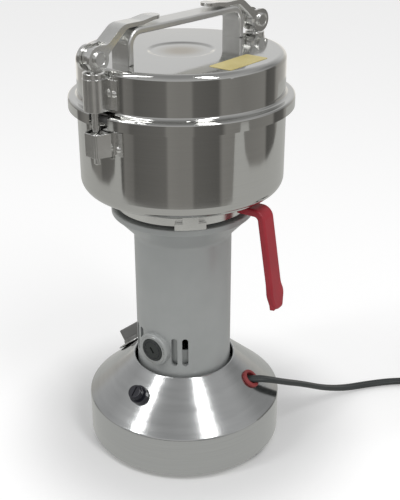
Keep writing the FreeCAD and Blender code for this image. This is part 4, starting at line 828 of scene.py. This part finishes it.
def sweep(name, path, wide, thick, count):
    """The section carried along a line, closed at both ends."""
    shape = bmesh.new()
    ring = section_ring(shape, wide, thick, count)
    ring_edges = list(shape.edges)
    for vertex in ring:
        vertex.co = facing(path, 0) @ vertex.co
    bmesh.ops.contextual_create(shape, geom=ring_edges)
    for index in range(1, len(path)):
        step = facing(path, index) @ facing(path, index - 1).inverted()
        grown = bmesh.ops.extrude_edge_only(shape, edges=ring_edges)
        fresh_verts = [item for item in grown["geom"] if isinstance(item, bmesh.types.BMVert)]
        ring_edges = [item for item in grown["geom"] if isinstance(item, bmesh.types.BMEdge)
                      and all(vertex in fresh_verts for vertex in item.verts)]
        bmesh.ops.transform(shape, matrix=step, verts=fresh_verts)
    bmesh.ops.contextual_create(shape, geom=ring_edges)
    bmesh.ops.recalc_face_normals(shape, faces=shape.faces)
    for face in shape.faces:
        face.smooth = len(face.verts) == 4
    return finish_piece(name, shape)


mains_lead = sweep("mains_lead", cord_path, CORD_WIDE, CORD_THICK, SECTION_POINTS)
mains_lead.data.materials.append(cord_sheath)
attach(mains_lead, "stand")
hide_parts("mains_cord", "cord_coil")
print(mains_lead.name, len(mains_lead.data.polygons), "faces")

# %% [markdown]
# The plug is moulded onto the cord's end. Its body is a copy of the node with large soft corners. Its pins
# are bare metal, so the faces beyond the body take a steel finish.

# %% Plug
plug = worked_copy("mains_plug", 0.0012, 3)
plug.data.materials.append(shaft_steel)
plug_low, plug_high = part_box("mains_plug")
pin_start = tail + LEAVE_HEADING * PLUG_BODY_LONG
for face in plug.data.polygons:
    if (face.center - pin_start).dot(LEAVE_HEADING) > 0:
        face.material_index = 1
print("plug from", [round(value, 3) for value in plug_low], "to", [round(value, 3) for value in plug_high])

# %% [markdown]
# ## Studio
# The mill stands in a tent of white cloth, on pale paper. Polished steel shows its surroundings, so the room
# is part of the look: upright bands of grey all round, which make the bands on the bowl and lid. A real room
# with walls could stand there too, but bands given by direction alone are quick and have no noise.

# %% Directions round the mill
view = camera.matrix_world.translation.to_2d().normalized()
BANDS = [
    (-180, 0.95), (-160, 0.95), (-151, 0.85), (-147, 0.5), (-130, 0.42), (-124, 0.38), (-121, 0.13),
    (-106, 0.25), (-96, 0.24), (-94, 0.15), (-76, 0.17), (-73, 0.12), (-64, 0.11), (-62, 0.24), (-52, 0.20),
    (-50, 0.14), (-16, 0.18), (-14, 0.29), (-2, 0.27), (10, 0.27), (12, 0.16), (38, 0.13), (42, 0.28),
    (66, 0.24), (98, 0.28), (101, 0.11), (116, 0.14), (121, 0.34), (140, 0.5), (150, 0.62), (158, 0.85),
    (180, 0.95),
]
WARM = (1.03, 1.0, 0.945)


def direction_share(tree, x, y):
    """The direction round the mill as 0 to 1. The camera's side is a half."""
    ahead = maths(tree, "ADD", maths(tree, "MULTIPLY", x, view.x), maths(tree, "MULTIPLY", y, view.y))
    across = maths(tree, "ADD", maths(tree, "MULTIPLY", x, -view.y), maths(tree, "MULTIPLY", y, view.x))
    return maths(tree, "ADD", maths(tree, "DIVIDE", maths(tree, "ARCTAN2", across, ahead), 2 * math.pi), 0.5)


def round_ramp(tree, share, stops):
    """A ramp from (degrees, grey or colour) stops, the degrees running from -180 to 180."""
    return ramp(tree, share, [((degrees + 180) / 360, colour) for degrees, colour in stops])


def room_bands(tree, share):
    """The brightness of the room round the mill."""
    return round_ramp(tree, share, [(degrees, [grey * part for part in WARM]) for degrees, grey in BANDS])


def by_ray(tree, other, mirrored, seen):
    """One shader for what polished metal shows, one for what the camera sees, one for all other light."""
    rays = add_node(tree, "ShaderNodeLightPath")
    result = other
    for ray, shader in (("Is Glossy Ray", mirrored), ("Is Camera Ray", seen)):
        choice = add_node(tree, "ShaderNodeMixShader")
        join(tree, rays.outputs[ray], choice.inputs[0])
        join(tree, result.outputs[0], choice.inputs[1])
        join(tree, shader.outputs[0], choice.inputs[2])
        result = choice
    return result.outputs[0]


print("view from", [round(value, 3) for value in view])

# %% [markdown]
# The floor is one large disc. The camera sees it nearly white, as its real lit surface and a glow added
# together. The glow fades out close to the mill, which paints a soft shade round its foot on top of the
# real shadow that shows there. In the polished steel the floor shows as pale paper near the mill, and
# beyond the paper's edge as the darker room. The ramp for that edge has its distances by half, so they stay
# within 0 to 1 as a colour's parts do.

# %% Floor
FLOOR_R = 7.0
SHADE_FULL_R, SHADE_GLOW = 0.095, 0.05
SHADE_END_R, OPEN_GLOW = 0.19, 0.34
PAPER_GREY = (0.52, 0.52, 0.50)
PAPER_EDGE = [
    (-180, 1.3), (-127, 1.3), (-122, 0.95), (-114, 0.79), (-100, 0.745), (-84, 0.745), (-75, 0.80),
    (-72, 1.1), (-68, 1.1), (-66, 0.72), (-58, 0.69), (-30, 0.675), (46, 0.675), (54, 0.70), (57, 1.1),
    (66, 1.1), (69, 0.90), (75, 0.83), (90, 0.822), (103, 0.84), (114, 0.89), (122, 0.97), (127, 1.3),
    (180, 1.3),
]
EDGE_BLUR = 0.006
floor_shape = bmesh.new()
bmesh.ops.create_circle(floor_shape, cap_ends=True, segments=96, radius=FLOOR_R)
floor = finish_piece("studio_floor", floor_shape)
floor_paper = bpy.data.materials.new("floor_paper")
floor_paper.use_nodes = True
tree = floor_paper.node_tree
tree.nodes.clear()
x, y = coordinate(tree)[1:3]
reach = level_length(tree, x, y)
share = direction_share(tree, x, y)
lit = add_node(tree, "ShaderNodeBsdfDiffuse", {"Color": (0.78, 0.78, 0.78, 1)})
glow = add_node(tree, "ShaderNodeEmission", {"Color": (1, 1, 1, 1)})
# painted shade: the glow drops close to the mill's foot, darkening the floor there besides its real shadow
painted_shade_glow = remap(tree, reach, SHADE_FULL_R, SHADE_END_R, SHADE_GLOW, OPEN_GLOW, "SMOOTHSTEP")
join(tree, painted_shade_glow, glow.inputs["Strength"])
seen = add_node(tree, "ShaderNodeAddShader")
join(tree, lit.outputs[0], seen.inputs[0])
join(tree, glow.outputs[0], seen.inputs[1])
bounced = add_node(tree, "ShaderNodeBsdfDiffuse", {"Color": (0.75, 0.75, 0.75, 1)})
half_edge = round_ramp(tree, share, [(degrees, distance / 2) for degrees, distance in PAPER_EDGE])
past_edge = maths(tree, "SUBTRACT", reach, maths(tree, "MULTIPLY", half_edge, 2.0))
beyond = remap(tree, past_edge, -EDGE_BLUR, EDGE_BLUR, 0, 1)
mirrored = add_node(tree, "ShaderNodeEmission", {"Strength": 1.0})
join(tree, mix_colour(tree, beyond, PAPER_GREY, room_bands(tree, share)), mirrored.inputs["Color"])
floor_out = add_node(tree, "ShaderNodeOutputMaterial")
join(tree, by_ray(tree, bounced, mirrored, seen), floor_out.inputs["Surface"])
floor.data.materials.append(floor_paper)
print("floor radius", FLOOR_R, "m")

# %% [markdown]
# The world gives the soft light of the tent. For the camera it is plain white. In polished metal its lower
# part shows the room's bands and its upper part the roof, which is brightest behind the mill, where the lid's
# flat top mirrors it, and darkest overhead, where the cone does.

# %% World
ROOF_HEIGHTS = [(0.30, 0.74), (0.5, 0.60), (0.66, 0.56), (0.84, 0.38), (1.0, 0.34)]
ROOF_SIDES = [(0.0, 1.0), (0.08, 0.95), (0.15, 0.62), (0.3, 0.8), (0.7, 0.8), (0.84, 0.42), (0.92, 0.9),
              (1.0, 1.0)]
ROOF_STARTS = (0.10, 0.22)
SIDES_FADE = (0.5, 0.8)
TENT_LIGHT = 0.62
world = bpy.data.worlds.new("studio_tent")
bpy.context.scene.world = world
world.use_nodes = True
tree = world.node_tree
tree.nodes.clear()
x, y, z = coordinate(tree, "Generated")[1:]
share = direction_share(tree, x, y)
heights = ramp(tree, z, ROOF_HEIGHTS)
sides = ramp(tree, share, ROOF_SIDES)
roof = mix_colour(tree, remap(tree, z, *SIDES_FADE, 1, 0), heights, sides, "MULTIPLY")
surroundings = mix_colour(tree, remap(tree, z, *ROOF_STARTS, 0, 1), room_bands(tree, share), roof)
tent = add_node(tree, "ShaderNodeBackground", {"Color": (1, 1, 1, 1), "Strength": TENT_LIGHT})
white = add_node(tree, "ShaderNodeBackground", {"Color": (1, 1, 1, 1), "Strength": 1.0})
mirrored = add_node(tree, "ShaderNodeBackground", {"Strength": 1.0})
join(tree, surroundings, mirrored.inputs["Color"])
world_out = add_node(tree, "ShaderNodeOutputWorld")
join(tree, by_ray(tree, tent, mirrored, white), world_out.inputs["Surface"])
print("world", world.name)

# %% [markdown]
# Two long soft boxes hang at the left and right, above the camera. They are what makes the bright fans on the
# spun cone, where the rings stretch each lamp into a streak from the column to the edge.

# %% Lamps
LAMP_HEIGHT = math.radians(55)
LAMP_FAR = 1.6
LAMP_TALL = 0.9
LAMP_AIM = Vector((0, 0, 0.15))


def soft_box(name, turn_from_view, wide, power):
    """An area lamp that looks at the mill from a direction given against the camera's side."""
    angle = math.atan2(view.y, view.x) + math.radians(turn_from_view)
    across = math.cos(LAMP_HEIGHT)
    spot = Vector((math.cos(angle) * across, math.sin(angle) * across, math.sin(LAMP_HEIGHT))) * LAMP_FAR
    data = bpy.data.lights.new(name, "AREA")
    data.shape = "RECTANGLE"
    data.size = wide
    data.size_y = LAMP_TALL
    data.energy = power
    lamp = bpy.data.objects.new(name, data)
    facing_mill = (-spot).to_track_quat("-Z", "Y").to_matrix().to_4x4()
    lamp.matrix_world = Matrix.Translation(LAMP_AIM + spot) @ facing_mill
    bpy.context.scene.collection.objects.link(lamp)


soft_box("soft_box_left", -67, 0.14, 4.2)
soft_box("soft_box_right", 37, 0.21, 6.5)

# %% [markdown]
# ## Close
# The view transform stays plain, so colours come out about as they are written.

# %% Finish
bpy.context.scene.view_settings.view_transform = "Standard"
